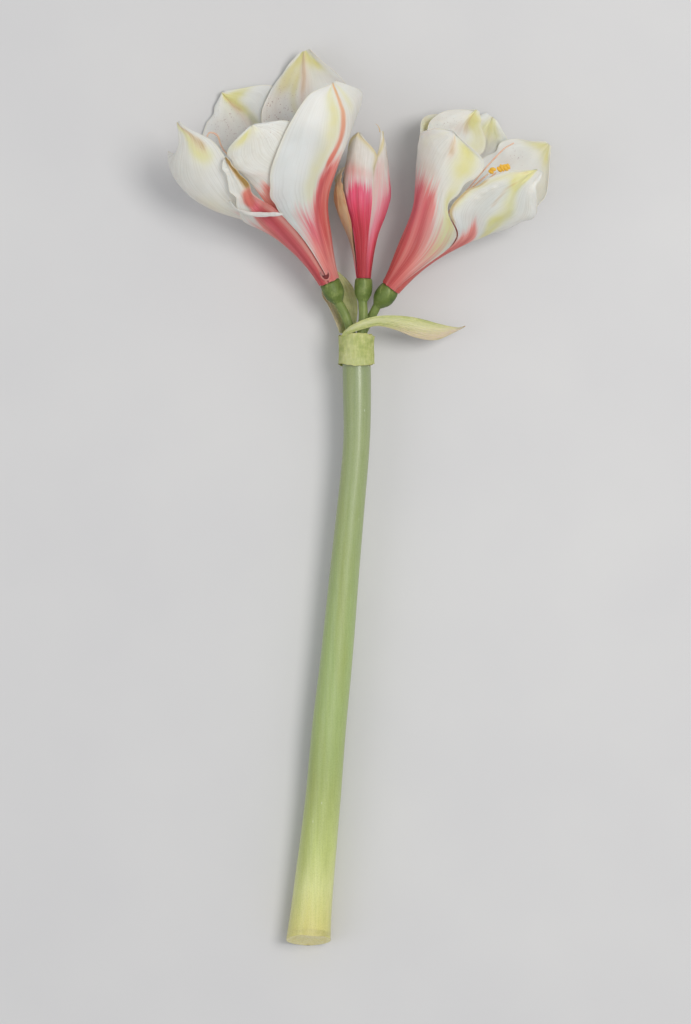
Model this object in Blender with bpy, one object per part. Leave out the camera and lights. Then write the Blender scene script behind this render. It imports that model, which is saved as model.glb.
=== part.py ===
"""Cut amaryllis stem lying down: one scape with its papery spathe, two open blooms and one bud.

Lengths in the tables are millimetres and angles are degrees. +X is to the right seen from above, +Y runs
from the cut end to the blooms, +Z is up from the surface that the stem lies on, and z = 0 is that surface.
TO_MIDDLE moves the tables' origin to the middle of the whole stem's box.
"""

import bpy
import numpy as np

MM = 0.001
TO_MIDDLE = (-1.25, -0.66, 0.0)
GAP = 0.35
PETAL_THICKNESS = 0.85
SPATHE_THICKNESS = 0.9
LEAST_ON_SURFACE = 0.62

# Scape: x, y and height of its middle, and its radius. It flares at the cut and rises towards the blooms.
SCAPE = (
    (-32.6, -287.5, 13.7, 14.6),
    (-30.9, -268.5, 13.9, 13.5),
    (-28.4, -244.4, 15.0, 12.7),
    (-23.4, -197.6, 17.1, 11.7),
    (-19.4, -150.8, 19.0, 11.2),
    (-14.4, -104.0, 20.6, 10.6),
    (-10.1, -57.2, 22.2, 9.8),
    (-5.6, -10.4, 23.9, 9.1),
    (-1.4, 36.4, 25.5, 8.7),
    (-1.0, 71.5, 26.5, 9.2),
    (-1.6, 104.0, 27.0, 9.3),
)
SCAPE_SIDES = 26
SCAPE_RINGS = 25
CUT_SLANT = 20.0
CUT_ROUNDING = 0.8
END_TAPER = 0.9
RIM_SHARE = 0.12

# Collar: one sheet wrapped round the top of the scape, its outer end lapping over its inner end.
COLLAR = {
    "middle": (-1.6, 27.0),
    "y": (87.5, 107.2),
    "inner_radius": 9.8,
    "lap_rise": 1.3,
    "wrap": 388.0,
    "seam_turn": 58.0,
    "wave": 0.7,
    "flare": 0.35,
}
COLLAR_STEPS = (6, 45)

# A bloom's petals lie in two layers on a funnel about its axis. A turn of 0 is straight up and 90 is to the
# right, seen from the foot. For each turn the funnel has its radius at STATIONS along the axis.
STATIONS = (0, 25, 50, 75, 100, 125, 150)
LAYER_OFFSET = {"outer": 1.25, "inner": -1.25}
TIP_HALF_WIDTH = 1.3
ROLL_START = 48
ROLL_LENGTH = 22
ROLL_EDGE = 0.4
RISE_START = 0.25
RISE_LENGTH = 0.35
KEEL_WIDTH = 0.22
SIDE_SHIFT = 0.21
LEFT_BLOOM = {
    "foot": (-19.2, 142.0, 30.0),
    "axis": (-0.403, 0.899, 0.169),
    "funnel": {
        0: (5.4, 11.5, 21, 31, 37, 40, 41),
        45: (5.4, 11.5, 20, 33, 43, 48, 50),
        90: (5.4, 11.5, 20.5, 43, 66, 71, 69),
        135: (5.4, 11.8, 22, 41, 56, 61, 60),
        180: (5.4, 12, 23, 36, 45.6, 48, 48.5),
        225: (5.4, 12.3, 27.5, 48, 57, 56, 51),
        270: (5.4, 12.0, 26.5, 53, 65, 61, 50),
        315: (5.4, 12, 22, 35, 43, 45, 44),
    },
}
RIGHT_BLOOM = {
    "foot": (21.1, 138.1, 30.0),
    "axis": (0.591, 0.791, 0.157),
    "funnel": {
        0: (5.0, 11, 20, 27, 32, 35, 36),
        45: (5.0, 10.5, 20, 27, 32.5, 35.5, 37),
        90: (5.0, 9.6, 20, 35, 47, 49.5, 48),
        135: (5.0, 10.6, 22.5, 39, 50, 52, 51),
        180: (5.0, 11, 22, 35, 45, 47, 47),
        225: (5.0, 11.3, 20.5, 35, 47, 49.5, 48),
        270: (5.0, 11.2, 18, 32.5, 46.5, 49, 47),
        315: (5.0, 11.3, 18.5, 30, 42, 44, 43),
    },
}
BUD = {
    "foot": (3.3, 144.0, 31.0),
    "axis": (0.038, 0.999, 0.035),
    "funnel": {
        0: (3.0, 6.2, 14.0, 13.0, 6.0, 4, 4),
        60: (3.0, 6.2, 13.5, 11.3, 6.4, 4, 3),
        120: (3.0, 6.2, 13.5, 11.3, 6.4, 4, 3),
        180: (3.0, 6.2, 13.6, 12.5, 6.0, 4, 4),
        240: (3.0, 6.6, 14.6, 13.0, 8.0, 5, 4),
        300: (3.0, 6.6, 14.6, 13.2, 8.0, 5, 4),
    },
}

# A petal: its low edge, middle and high edge, each as (distance along the axis, turn), and its tip. "keel" is
# how far the midrib stands out, "roll" how far each margin rolls away from the layers, and "wave" the ruffle
# of the margins as its height, its number of waves and where they start. Where they differ from the usual,
# "lift" is how far each margin stands away and "tip_half_width" how blunt its tip is.
LEFT_PETALS = {
    "left_bloom_petal_right": {
        "layer": "outer",
        "low": ((0, 3), (33, -14), (54, -24), (70, -22), (92, 3), (115, 41)),
        "middle": ((0, 60), (26, 56), (48, 58), (66, 66), (79, 74), (99, 67)),
        "high": ((0, 112), (26, 112), (50, 116), (72, 112), (86, 102), (97, 93)),
        "tip": (117, 64),
        "tip_half_width": 1.8,
        "keel": 2.0,
        "roll": (0.0, 0.0),
        "wave": (1.2, 2.4, 0.3),
    },
    "left_bloom_petal_channel": {
        "layer": "outer",
        "low": ((0, 250), (26, 252), (48, 266), (68, 301), (82, 310), (93, 314)),
        "middle": ((0, 300), (26, 298), (48, 300), (64, 306), (80, 314), (93, 317)),
        "high": ((0, 350), (26, 342), (57, 330), (68, 324), (81, 324), (93, 322)),
        "tip": (102, 318),
        "keel": 0.0,
        "roll": (3.5, 1.5),
        "wave": (0.8, 2.0, 0.1),
    },
    "left_bloom_petal_back": {
        "layer": "outer",
        "low": ((0, 126), (26, 126), (52, 130), (78, 136), (109, 159), (128, 162)),
        "middle": ((0, 182), (26, 180), (52, 180), (80, 182), (109, 184), (125, 188)),
        "high": ((0, 236), (26, 232), (52, 226), (78, 224), (115, 218), (127, 206)),
        "tip": (137, 195),
        "keel": 1.6,
        "roll": (0.0, 1.0),
        "wave": (1.8, 2.6, 0.6),
    },
    "left_bloom_petal_front": {
        "layer": "inner",
        "low": ((0, -40), (26, -42), (50, -42), (83, -39), (96, -42), (106, -38)),
        "middle": ((0, 14), (26, 14), (50, 12), (72, 8), (92, -13), (104, -11)),
        "high": ((0, 66), (26, 66), (50, 66), (72, 60), (96, 50), (107, 26)),
        "tip": (114, -8),
        "tip_half_width": 2.6,
        "keel": 0.4,
        "roll": (0.0, 0.0),
        "wave": (1.6, 2.8, 0.2),
    },
    "left_bloom_petal_left": {
        "layer": "inner",
        "low": ((0, 204), (26, 212), (60, 267), (86, 262), (117, 264), (116, 284)),
        "middle": ((0, 256), (26, 260), (50, 266), (76, 272), (98, 276), (122, 292)),
        "high": ((0, 308), (26, 308), (50, 306), (76, 310), (104, 314), (120, 307)),
        "tip": (134, 291),
        "keel": 0.8,
        "roll": (0.0, 0.0),
        "wave": (2.2, 2.5, 0.4),
    },
    "left_bloom_petal_top": {
        "layer": "inner",
        "low": ((0, 78), (26, 80), (52, 84), (76, 92), (92, 86), (112, 111)),
        "middle": ((0, 134), (26, 134), (52, 134), (80, 134), (108, 143), (126, 136)),
        "high": ((0, 190), (26, 190), (52, 188), (78, 184), (110, 175), (128, 155)),
        "tip": (140, 129),
        "tip_half_width": 4.2,
        "keel": 0.6,
        "roll": (0.0, 0.0),
        "wave": (2.0, 2.4, 0.8),
    },
}
RIGHT_PETALS = {
    "right_bloom_petal_front": {
        "layer": "outer",
        "low": ((0, -92), (26, -96), (50, -100), (72, -98), (86, -88), (94, -69)),
        "middle": ((0, -30), (26, -25), (55, -40), (74, -39), (89, -36), (99, -34)),
        "high": ((0, 32), (30, 57), (52, 40), (64, -2), (86, 1), (102, 1)),
        "tip": (106, -36),
        "keel": 1.6,
        "roll": (0.0, 1.0),
        "wave": (1.0, 2.3, 0.2),
    },
    "right_bloom_petal_right": {
        "layer": "outer",
        "low": ((0, 38), (31, 62), (53, 45), (64, 5), (84, 9), (102, 27)),
        "middle": ((0, 94), (26, 92), (52, 82), (72, 53), (87, 52), (102, 51)),
        "high": ((0, 144), (26, 140), (50, 134), (63, 99), (78, 122), (103, 70)),
        "tip": (118, 55),
        "tip_half_width": 3.2,
        "keel": 1.4,
        "roll": (0.0, 0.0),
        "wave": (1.4, 2.4, 0.5),
    },
    "right_bloom_petal_back": {
        "layer": "outer",
        "low": ((0, 156), (26, 152), (50, 148), (76, 150), (109, 167), (119, 179)),
        "middle": ((0, 206), (26, 202), (50, 200), (76, 200), (94, 192), (112, 194)),
        "high": ((0, 256), (26, 252), (50, 248), (74, 249), (94, 264), (111, 222)),
        "tip": (125, 197),
        "tip_half_width": 3.2,
        "keel": 1.0,
        "roll": (0.0, 0.0),
        "wave": (1.8, 2.7, 0.3),
    },
    "right_bloom_petal_inner": {
        "layer": "inner",
        "low": ((0, -34), (26, -30), (50, -20), (66, 16), (80, 24), (96, 34)),
        "middle": ((0, 22), (26, 22), (50, 26), (70, 42), (84, 50), (98, 54)),
        "high": ((0, 78), (26, 78), (50, 78), (70, 78), (84, 78), (98, 74)),
        "tip": (107, 56),
        "keel": 0.5,
        "roll": (0.0, 0.0),
        "wave": (1.4, 2.2, 0.7),
    },
    "right_bloom_petal_far": {
        "layer": "inner",
        "low": ((0, 90), (26, 90), (50, 92), (71, 97), (90, 101), (108, 118)),
        "middle": ((0, 144), (26, 144), (50, 142), (74, 140), (99, 155), (117, 153)),
        "high": ((0, 196), (26, 196), (50, 194), (76, 188), (104, 181), (119, 176)),
        "tip": (133, 148),
        "tip_half_width": 2.4,
        "keel": 0.9,
        "roll": (0.0, 0.0),
        "wave": (2.2, 2.5, 0.1),
    },
    "right_bloom_petal_left": {
        "layer": "inner",
        "low": ((0, 210), (26, 208), (50, 206), (76, 205), (104, 189), (117, 203)),
        "middle": ((0, 262), (26, 262), (50, 258), (74, 250), (96, 222), (110, 218)),
        "high": ((0, 314), (26, 316), (50, 312), (74, 300), (88, 272), (107, 245)),
        "tip": (123, 212),
        "keel": 0.8,
        "roll": (0.0, 0.0),
        "wave": (1.6, 2.3, 0.9),
    },
}
BUD_PETALS = {
    "bud_petal_front": {
        "layer": "outer",
        "low": ((0, -66), (20, -66), (40, -68), (58, -76), (76, -88), (88, -84)),
        "middle": ((0, -28), (20, -28), (40, -29), (58, -32), (74, -36), (87, -42)),
        "high": ((0, 10), (20, 10), (40, 10), (56, 10), (69, 13), (80, 20)),
        "tip": (93, -43),
        "keel": 0.6,
        "roll": (0.0, 0.0),
        "wave": (0.0, 2.0, 0.0),
    },
    "bud_petal_left": {
        "layer": "outer",
        "low": ((0, 192), (20, 192), (36, 206), (48, 226), (58, 240), (65, 254)),
        "middle": ((0, 234), (20, 238), (34, 256), (47, 271), (57, 273), (65, 268)),
        "high": ((0, 276), (20, 286), (33, 311), (46, 315), (57, 305), (65, 284)),
        "tip": (71, 267),
        "keel": 0.0,
        "roll": (0.0, 0.0),
        "lift": (7.0, 1.7),
        "wave": (0.8, 2.2, 0.4),
    },
    "bud_petal_right": {
        "layer": "outer",
        "low": ((0, 20), (20, 18), (40, 16), (57, 17), (70, 23), (80, 35)),
        "middle": ((0, 100), (20, 100), (40, 98), (58, 96), (76, 88), (86, 86)),
        "high": ((0, 182), (20, 182), (40, 180), (58, 174), (74, 156), (86, 126)),
        "tip": (95, 84),
        "keel": 0.5,
        "roll": (0.0, 0.0),
        "wave": (0.0, 2.0, 0.0),
    },
    "bud_petal_inner_left": {
        "layer": "inner",
        "low": ((0, 198), (18, 198), (34, 198), (50, 198), (62, 202), (72, 214)),
        "middle": ((0, 258), (18, 258), (34, 258), (50, 258), (64, 258), (74, 258)),
        "high": ((0, 318), (18, 318), (34, 318), (50, 318), (62, 314), (72, 302)),
        "tip": (81, 258),
        "keel": 0.0,
        "roll": (0.0, 0.0),
        "wave": (0.0, 2.0, 0.0),
    },
    "bud_petal_inner_front": {
        "layer": "inner",
        "low": ((0, -34), (18, -34), (32, -34), (46, -34), (58, -30), (66, -20)),
        "middle": ((0, 30), (18, 30), (32, 30), (46, 30), (59, 30), (68, 30)),
        "high": ((0, 96), (18, 96), (32, 96), (46, 96), (58, 92), (66, 80)),
        "tip": (74, 30),
        "keel": 0.0,
        "roll": (0.0, 0.0),
        "wave": (0.0, 2.0, 0.0),
    },
}
PETAL_STEPS = (19, 9)
BUD_STEPS = (17, 9)

# Flower stalks: the bottom inside the collar, a bend, and the bloom that the ovary's top faces. Then the
# radii of the stalk, the ovary's fullest part and its flat top.
STALKS = {
    "left_bloom_stalk": {
        "bottom": (-5.0, 105.4, 27.0),
        "bend": (-8.6, 120.0, 28.0),
        "bloom": LEFT_BLOOM,
        "radii": (3.0, 6.9, 6.7),
    },
    "bud_stalk": {
        "bottom": (1.8, 105.4, 30.6),
        "bend": (3.1, 119.0, 31.2),
        "bloom": BUD,
        "radii": (2.9, 5.9, 5.6),
    },
    "right_bloom_stalk": {
        "bottom": (3.2, 105.7, 24.2),
        "bend": (8.4, 119.0, 25.8),
        "bloom": RIGHT_BLOOM,
        "radii": (2.8, 6.9, 6.3),
    },
}
OVARY_LENGTH = 15.0
OVARY_STATIONS = (0.12, 0.28, 0.45, 0.62, 0.8, 0.94, 1.0)
OVARY_SWELL = (0.35, 0.75, 0.95, 1.0, 0.97)
STALK_STRAIGHT = 4.0
STALK_RINGS = 8
STALK_SIDES = 16

# Spathe valves: lower edge, middle and upper edge as points, from the collar to the tip.
SPATHE_VALVES = {
    "spathe_valve_right": {
        "low": (
            (-10.6, 105.4, 36.2), (-5, 107.8, 39.2), (4, 110.5, 40), (13, 112.3, 39),
            (24, 110, 34.6), (37, 105.5, 27), (50, 104, 21.5), (62, 109, 17.5),
        ),
        "middle": (
            (-10.4, 107.2, 36.7), (-5.2, 110.2, 40.4), (4, 113.3, 42), (13, 115.5, 40.6),
            (25, 114.4, 36), (38, 111.3, 29.5), (52, 109.5, 23.5), (64, 111, 18),
        ),
        "high": (
            (-9.6, 109, 37.1), (-4.6, 112.6, 41.4), (4, 116.4, 43.5), (13, 118.5, 41.8),
            (25, 119, 37.4), (38, 118, 30), (53, 114.5, 23), (64, 112.5, 17.8),
        ),
        "tip": (69.5, 113.4, 16),
        "wave": 0.5,
    },
    "spathe_valve_left": {
        "low": ((-12.2, 108.6, 24), (-15.4, 117, 20), (-19.8, 127, 17), (-24, 136, 14)),
        "middle": ((-8.0, 108.8, 18.8), (-9, 119, 16), (-12, 131, 13.5), (-16.5, 141, 11)),
        "high": ((-3.0, 108.8, 16.6), (-1, 119, 17), (-1, 130, 15.5), (-5.5, 142, 12.5)),
        "tip": (-20, 155, 9),
        "wave": 0.4,
    },
}
VALVE_STEPS = (20, 7)

# Stamens and styles: points inside a bloom as (along its axis, to the right, up), and the radius.
FILAMENTS = {
    "left_bloom_style": {
        "bloom": LEFT_BLOOM,
        "points": (
            (-0.2, 0, 0), (40, -4, -2), (75, -14, -6), (102, -27, -11),
            (114, -27.5, -12), (118, -31, -12.5), (116.5, -34, -13),
        ),
        "radii": (0.9, 0.75),
    },
    "right_bloom_style": {
        "bloom": RIGHT_BLOOM,
        "points": ((-0.2, 0, -0.6), (45, 0.5, -2), (85, 2.5, -1), (112, 5, 1), (122, 8.5, 2)),
        "radii": (0.8, 0.6),
    },
    "right_bloom_filament_near": {
        "bloom": RIGHT_BLOOM,
        "points": ((4, 0.5, 2.6), (40, 1.2, 4), (72, 2.4, 7), (90, 5.6, 9), (96.6, 7.2, 9.5)),
        "radii": (0.8, 0.7),
    },
    "right_bloom_filament_far": {
        "bloom": RIGHT_BLOOM,
        "points": ((4, 2.5, -0.3), (40, 4.5, 1), (72, 6.5, 3), (92, 9, 6), (100.2, 10.8, 6.9)),
        "radii": (0.8, 0.7),
    },
}
FILAMENT_RINGS = 15
FILAMENT_SIDES = 8
ANTHER_RINGS = 9
ANTHER_SIDES = 12
ANTHER_RISE = 0.15
ANTHERS = {
    "right_bloom_anther_near": {
        "bloom": RIGHT_BLOOM,
        "middle": (99.8, 8.0, 10.0),
        "half_size": (2.8, 2.1, 1.8),
        "heading": 10.0,
    },
    "right_bloom_anther_far": {
        "bloom": RIGHT_BLOOM,
        "middle": (105.4, 12.9, 7.2),
        "half_size": (4.8, 2.8, 2.0),
        "heading": 38.0,
    },
}


def spline(points, t):
    """Points of a smooth curve through the given ones, at t from 0 to 1 with equal shares between them."""
    points = np.asarray(points, float)
    count = len(points) - 1
    ends = np.vstack([2 * points[0] - points[1], points, 2 * points[-1] - points[-2]])
    t = np.clip(np.asarray(t, float), 0, 1) * count
    i = np.minimum(t.astype(int), count - 1)
    f = (t - i).reshape(-1, *([1] * (points.ndim - 1)))
    before, start, end, after = ends[i], ends[i + 1], ends[i + 2], ends[i + 3]
    straight = 2 * start + (end - before) * f
    bend = (2 * before - 5 * start + 4 * end - after) * f**2
    return 0.5 * (straight + bend + (3 * start - before - 3 * end + after) * f**3)


def across(low, middle, high, v):
    """Surface through three curves, curved like a parabola from one edge (v = -1) to the other (v = 1)."""
    v = v.reshape(1, -1, *([1] * (low.ndim - 1)))
    low, middle, high = low[:, None], middle[:, None], high[:, None]
    return middle + (high - low) / 2 * v + (high + low - 2 * middle) / 2 * v**2


def bloom_frame(bloom):
    """The bloom's foot and its three directions: along, to the right and up."""
    foot = np.array(bloom["foot"], float)
    along = np.array(bloom["axis"], float)
    along /= np.linalg.norm(along)
    up = np.array([0.0, 0.0, 1.0])
    up -= along * (along @ up)
    up /= np.linalg.norm(up)
    return foot, along, np.cross(along, up), up


def in_bloom(bloom, points):
    """World places of points given as (along, right, up) in a bloom."""
    foot, along, right, up = bloom_frame(bloom)
    points = np.asarray(points, float)
    return foot + points[..., :1] * along + points[..., 1:2] * right + points[..., 2:3] * up


def cubic_weights(f):
    """Shares of four neighbouring values in a smooth curve, at f of the way between the middle two."""
    return np.stack(
        [
            (-f + 2 * f**2 - f**3) / 2,
            (2 - 5 * f**2 + 3 * f**3) / 2,
            (f + 4 * f**2 - 3 * f**3) / 2,
            (f**3 - f**2) / 2,
        ]
    )


def funnel_radius(bloom, distance, turn):
    """Radius of the bloom's funnel at each distance along the axis and turn about it."""
    turns = sorted(bloom["funnel"])
    table = np.array([bloom["funnel"][key] for key in turns], float)
    step = 360 / len(turns)
    place = np.mod(turn, 360) / step
    i = place.astype(int)
    round_weights = cubic_weights(place - i)
    place = np.clip(distance / STATIONS[1], 0, len(STATIONS) - 1.001)
    j = place.astype(int)
    along_weights = cubic_weights(place - j)
    last = len(STATIONS) - 1
    radius = 0
    for a in range(4):
        row = (i + a - 1) % len(turns)
        for b in range(4):
            column = np.clip(j + b - 1, 0, last)
            radius = radius + round_weights[a] * along_weights[b] * table[row, column]
    return radius


def petal_sheet(bloom, petal, steps):
    """Middle surface of a petal as a grid of points, from its foot to its tip and from edge to edge."""
    u = np.linspace(0, 1, steps[0])
    v = np.linspace(-1, 1, steps[1])
    edges = [spline([*petal[name], petal["tip"]], u) for name in ("low", "middle", "high")]
    place = across(*edges, v)
    distance, turn = place[..., 0], place[..., 1]
    radius = funnel_radius(bloom, distance, turn)
    u, v = u[:, None], v[None, :]
    turn = turn + np.degrees(petal.get("tip_half_width", TIP_HALF_WIDTH) / radius) * u**6 * v
    height, waves, start = petal["wave"]
    rise = np.sin(np.pi * u) ** 0.5 * np.clip((u - RISE_START) / RISE_LENGTH, 0, 1)
    phase = waves * u + start + SIDE_SHIFT * (v > 0)
    ruffle = height * np.abs(v) ** 3 * rise * (0.5 - 0.5 * np.cos(2 * np.pi * phase))
    keel = petal["keel"] * np.exp(-((v / KEEL_WIDTH) ** 2)) * rise
    opened = np.clip((distance - ROLL_START) / ROLL_LENGTH, 0, 1) * rise
    roll_low, roll_high = petal["roll"]
    side = np.clip((np.abs(v) - ROLL_EDGE) / (1 - ROLL_EDGE), 0, 1) ** 2
    roll = np.where(v < 0, roll_low, roll_high) * side * opened
    lift_low, lift_high = petal.get("lift", (0.0, 0.0))
    lift = (lift_low + (lift_high - lift_low) * (v + 1) / 2) * np.sin(np.pi * u) ** 0.7
    outward = 1 if petal["layer"] == "outer" else -1
    radius = radius + LAYER_OFFSET[petal["layer"]] + outward * (ruffle + keel + roll + lift)
    turn = np.radians(turn)
    return in_bloom(bloom, np.stack([distance, radius * np.sin(turn), radius * np.cos(turn)], -1))


def valve_sheet(valve, steps):
    """Middle surface of a spathe valve, with a narrow blunt tip and slightly wavy margins."""
    u = np.linspace(0, 1, steps[0])
    v = np.linspace(-1, 1, steps[1])
    edges = [spline([*valve[name], valve["tip"]], u) for name in ("low", "middle", "high")]
    sheet = across(*edges, v)
    tip = np.array(valve["tip"], float)
    side = sheet[-4, -1] - sheet[-4, 0]
    side = side / np.linalg.norm(side) * TIP_HALF_WIDTH / 2
    sheet = sheet + (u[:, None, None] ** 8) * v[None, :, None] * side
    sheet[-1, :] = tip + v[:, None] * side
    u, v = u[:, None], v[None, :]
    sheet[..., 2] += valve["wave"] * np.sin(np.pi * u) * v**2 * np.sin(12 * u + 2 * v)
    return sheet


def collar_sheet():
    """The wrapped sheath: a sheet round the scape whose outer end laps over its inner end at the seam."""
    u = np.linspace(0, 1, COLLAR_STEPS[0])[:, None]
    wrapped = np.linspace(0, 1, COLLAR_STEPS[1])[None, :]
    low, high = COLLAR["y"]
    angle = np.radians(COLLAR["seam_turn"] + COLLAR["wrap"] * wrapped)
    flare = COLLAR["flare"] * np.abs(2 * u - 1) ** 3 * (0.3 + 0.7 * wrapped)
    radius = COLLAR["inner_radius"] + SPATHE_THICKNESS / 2 + COLLAR["lap_rise"] * wrapped + flare
    y = low + (high - low) * u + COLLAR["wave"] * np.sin(2.2 * angle) * (2 * u - 1)
    x = COLLAR["middle"][0] + radius * np.sin(angle)
    z = COLLAR["middle"][1] + radius * np.cos(angle)
    return np.stack([x, y, z], -1)


def split_squares(a, b, c, d):
    """Two triangles for each square of a grid, given its four corners in order."""
    return np.concatenate([np.stack([a, b, c], -1).reshape(-1, 3), np.stack([a, c, d], -1).reshape(-1, 3)])


def sheet_normals(sheet):
    along = np.gradient(sheet, axis=0)
    side = np.gradient(sheet, axis=1)
    normal = np.cross(along, side)
    return normal / np.linalg.norm(normal, axis=-1, keepdims=True)


def plate(sheet, thickness):
    """Closed plate about a sheet, flattened where it lies on the surface. Both faces are split alike."""
    rows, columns = sheet.shape[:2]
    half = sheet_normals(sheet) * thickness / 2
    first, second = sheet + half, sheet - half
    first_is_lower = first[..., 2] < second[..., 2]
    bottom = np.maximum(np.minimum(first[..., 2], second[..., 2]), 0)
    least_top = bottom + LEAST_ON_SURFACE * (bottom == 0)
    top = np.maximum(np.maximum(first[..., 2], second[..., 2]), least_top)
    first[..., 2] = np.where(first_is_lower, bottom, top)
    second[..., 2] = np.where(first_is_lower, top, bottom)
    points = np.concatenate([first.reshape(-1, 3), second.reshape(-1, 3)])
    index = np.arange(rows * columns).reshape(rows, columns)
    face = split_squares(index[:-1, :-1], index[1:, :-1], index[1:, 1:], index[:-1, 1:])
    border = np.concatenate([index[:-1, 0], index[-1, :-1], index[:0:-1, -1], index[0, :0:-1]])
    after = np.roll(border, -1)
    other = rows * columns
    rim = np.concatenate(
        [
            np.stack([border, border + other, after], -1),
            np.stack([after, border + other, after + other], -1),
        ]
    )
    return points, np.concatenate([face, face[:, ::-1] + other, rim])


def rings(middles, radii, sides, squash=1.0):
    """Rings of points square to the path of the middles."""
    middles = np.asarray(middles, float)
    along = np.gradient(middles, axis=0)
    along /= np.linalg.norm(along, axis=1, keepdims=True)
    up = np.array([0.0, 0.0, 1.0]) - along * along[:, 2:]
    up /= np.linalg.norm(up, axis=1, keepdims=True)
    right = np.cross(along, up)
    turn = np.linspace(0, 2 * np.pi, sides, endpoint=False)[None, :, None]
    radii = np.asarray(radii, float)[:, None, None]
    return middles[:, None] + radii * (np.sin(turn) * right[:, None] + squash * np.cos(turn) * up[:, None])


def tube(ring_points):
    """Closed solid through the rings, with a point in the middle of each flat end."""
    rows, sides = ring_points.shape[:2]
    ends = [ring_points[0].mean(0), ring_points[-1].mean(0)]
    points = np.concatenate([ring_points.reshape(-1, 3), ends])
    index = np.arange(rows * sides).reshape(rows, sides)
    after = np.roll(index, -1, axis=1)
    walls = split_squares(index[:-1], after[:-1], after[1:], index[1:])
    start, end = rows * sides, rows * sides + 1
    first = np.stack([np.full(sides, start), after[0], index[0]], -1)
    last = np.stack([np.full(sides, end), index[-1], after[-1]], -1)
    return points, np.concatenate([walls, first, last])


def scape_rings():
    """The scape: cut aslant at its flared foot, its rim a little rounded, and flat where it lies down."""
    stations = spline(SCAPE, np.linspace(0, 1, SCAPE_RINGS))
    ring_points = rings(stations[:, :3], stations[:, 3], SCAPE_SIDES)
    foot = ring_points[0]
    middle = foot.mean(0)
    foot[:, 1] = middle[1] + (foot[:, 2] - middle[2]) * np.tan(np.radians(CUT_SLANT))
    rounding = foot + (ring_points[1] - foot) * RIM_SHARE
    foot = middle + (foot - middle) * (1 - CUT_ROUNDING / SCAPE[0][3])
    ring_points = np.concatenate([foot[None], rounding[None], ring_points[1:]])
    top = ring_points[-1]
    shoulder = top.mean(0) + (top - top.mean(0)) * END_TAPER + np.array([0, CUT_ROUNDING, 0])
    ring_points = np.concatenate([ring_points, shoulder[None]])
    ring_points[..., 2] = np.maximum(ring_points[..., 2], 0)
    return ring_points


def stalk_rings(stalk):
    """A flower stalk that widens to its ovary, whose flat top faces the bloom."""
    foot, along, _, _ = bloom_frame(stalk["bloom"])
    top = foot - along * (GAP + PETAL_THICKNESS / 4)
    ovary_start = top - along * OVARY_LENGTH
    stalk_radius, ovary_radius, top_radius = stalk["radii"]
    straight_end = np.array(stalk["bottom"]) + (0, STALK_STRAIGHT, 0)
    path = [stalk["bottom"], straight_end, stalk["bend"], ovary_start]
    curve = spline(path, np.linspace(0, 1, STALK_RINGS))
    ovary = [ovary_start + along * OVARY_LENGTH * share for share in OVARY_STATIONS]
    swell = [stalk_radius + (ovary_radius - stalk_radius) * share for share in OVARY_SWELL]
    radii = [stalk_radius] * STALK_RINGS + swell + [top_radius, top_radius * END_TAPER]
    return rings([*curve, *ovary], radii, STALK_SIDES)


def filament_rings(filament):
    """A stamen's filament or a style, a little thinner towards its end."""
    points = spline(filament["points"], np.linspace(0, 1, FILAMENT_RINGS))
    radii = np.linspace(*filament["radii"], FILAMENT_RINGS)
    return rings(in_bloom(filament["bloom"], points), radii, FILAMENT_SIDES)


def anther_rings(anther):
    """A bean-shaped anther with round ends."""
    length, width, depth = anther["half_size"]
    heading = np.radians(anther["heading"])
    direction = np.array([np.cos(heading), np.sin(heading), ANTHER_RISE])
    t = np.linspace(-0.97, 0.97, ANTHER_RINGS)
    middles = np.array(anther["middle"]) + t[:, None] * length * direction
    radii = width * np.sqrt(1 - t**2)
    return rings(in_bloom(anther["bloom"], middles), radii, ANTHER_SIDES, depth / width)


def material(name, colour, roughness):
    made = bpy.data.materials.new(name)
    made.use_nodes = True
    shader = made.node_tree.nodes["Principled BSDF"]
    shader.inputs["Base Color"].default_value = (*colour, 1.0)
    shader.inputs["Roughness"].default_value = roughness
    return made


def add_solid(name, shape, look):
    """One named object from its points and triangles, turned to face outwards."""
    points, faces = shape
    points = points + TO_MIDDLE
    mesh = bpy.data.meshes.new(name)
    mesh.from_pydata((points * MM).tolist(), [], faces.tolist())
    mesh.validate()
    mesh.update()
    if np.linalg.det(points[faces]).sum() < 0:
        mesh.flip_normals()
    mesh.polygons.foreach_set("use_smooth", [True] * len(mesh.polygons))
    mesh.materials.append(look)
    solid = bpy.data.objects.new(name, mesh)
    bpy.context.scene.collection.objects.link(solid)
    return solid


def clear_scene():
    for item in list(bpy.data.objects):
        bpy.data.objects.remove(item)


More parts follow.
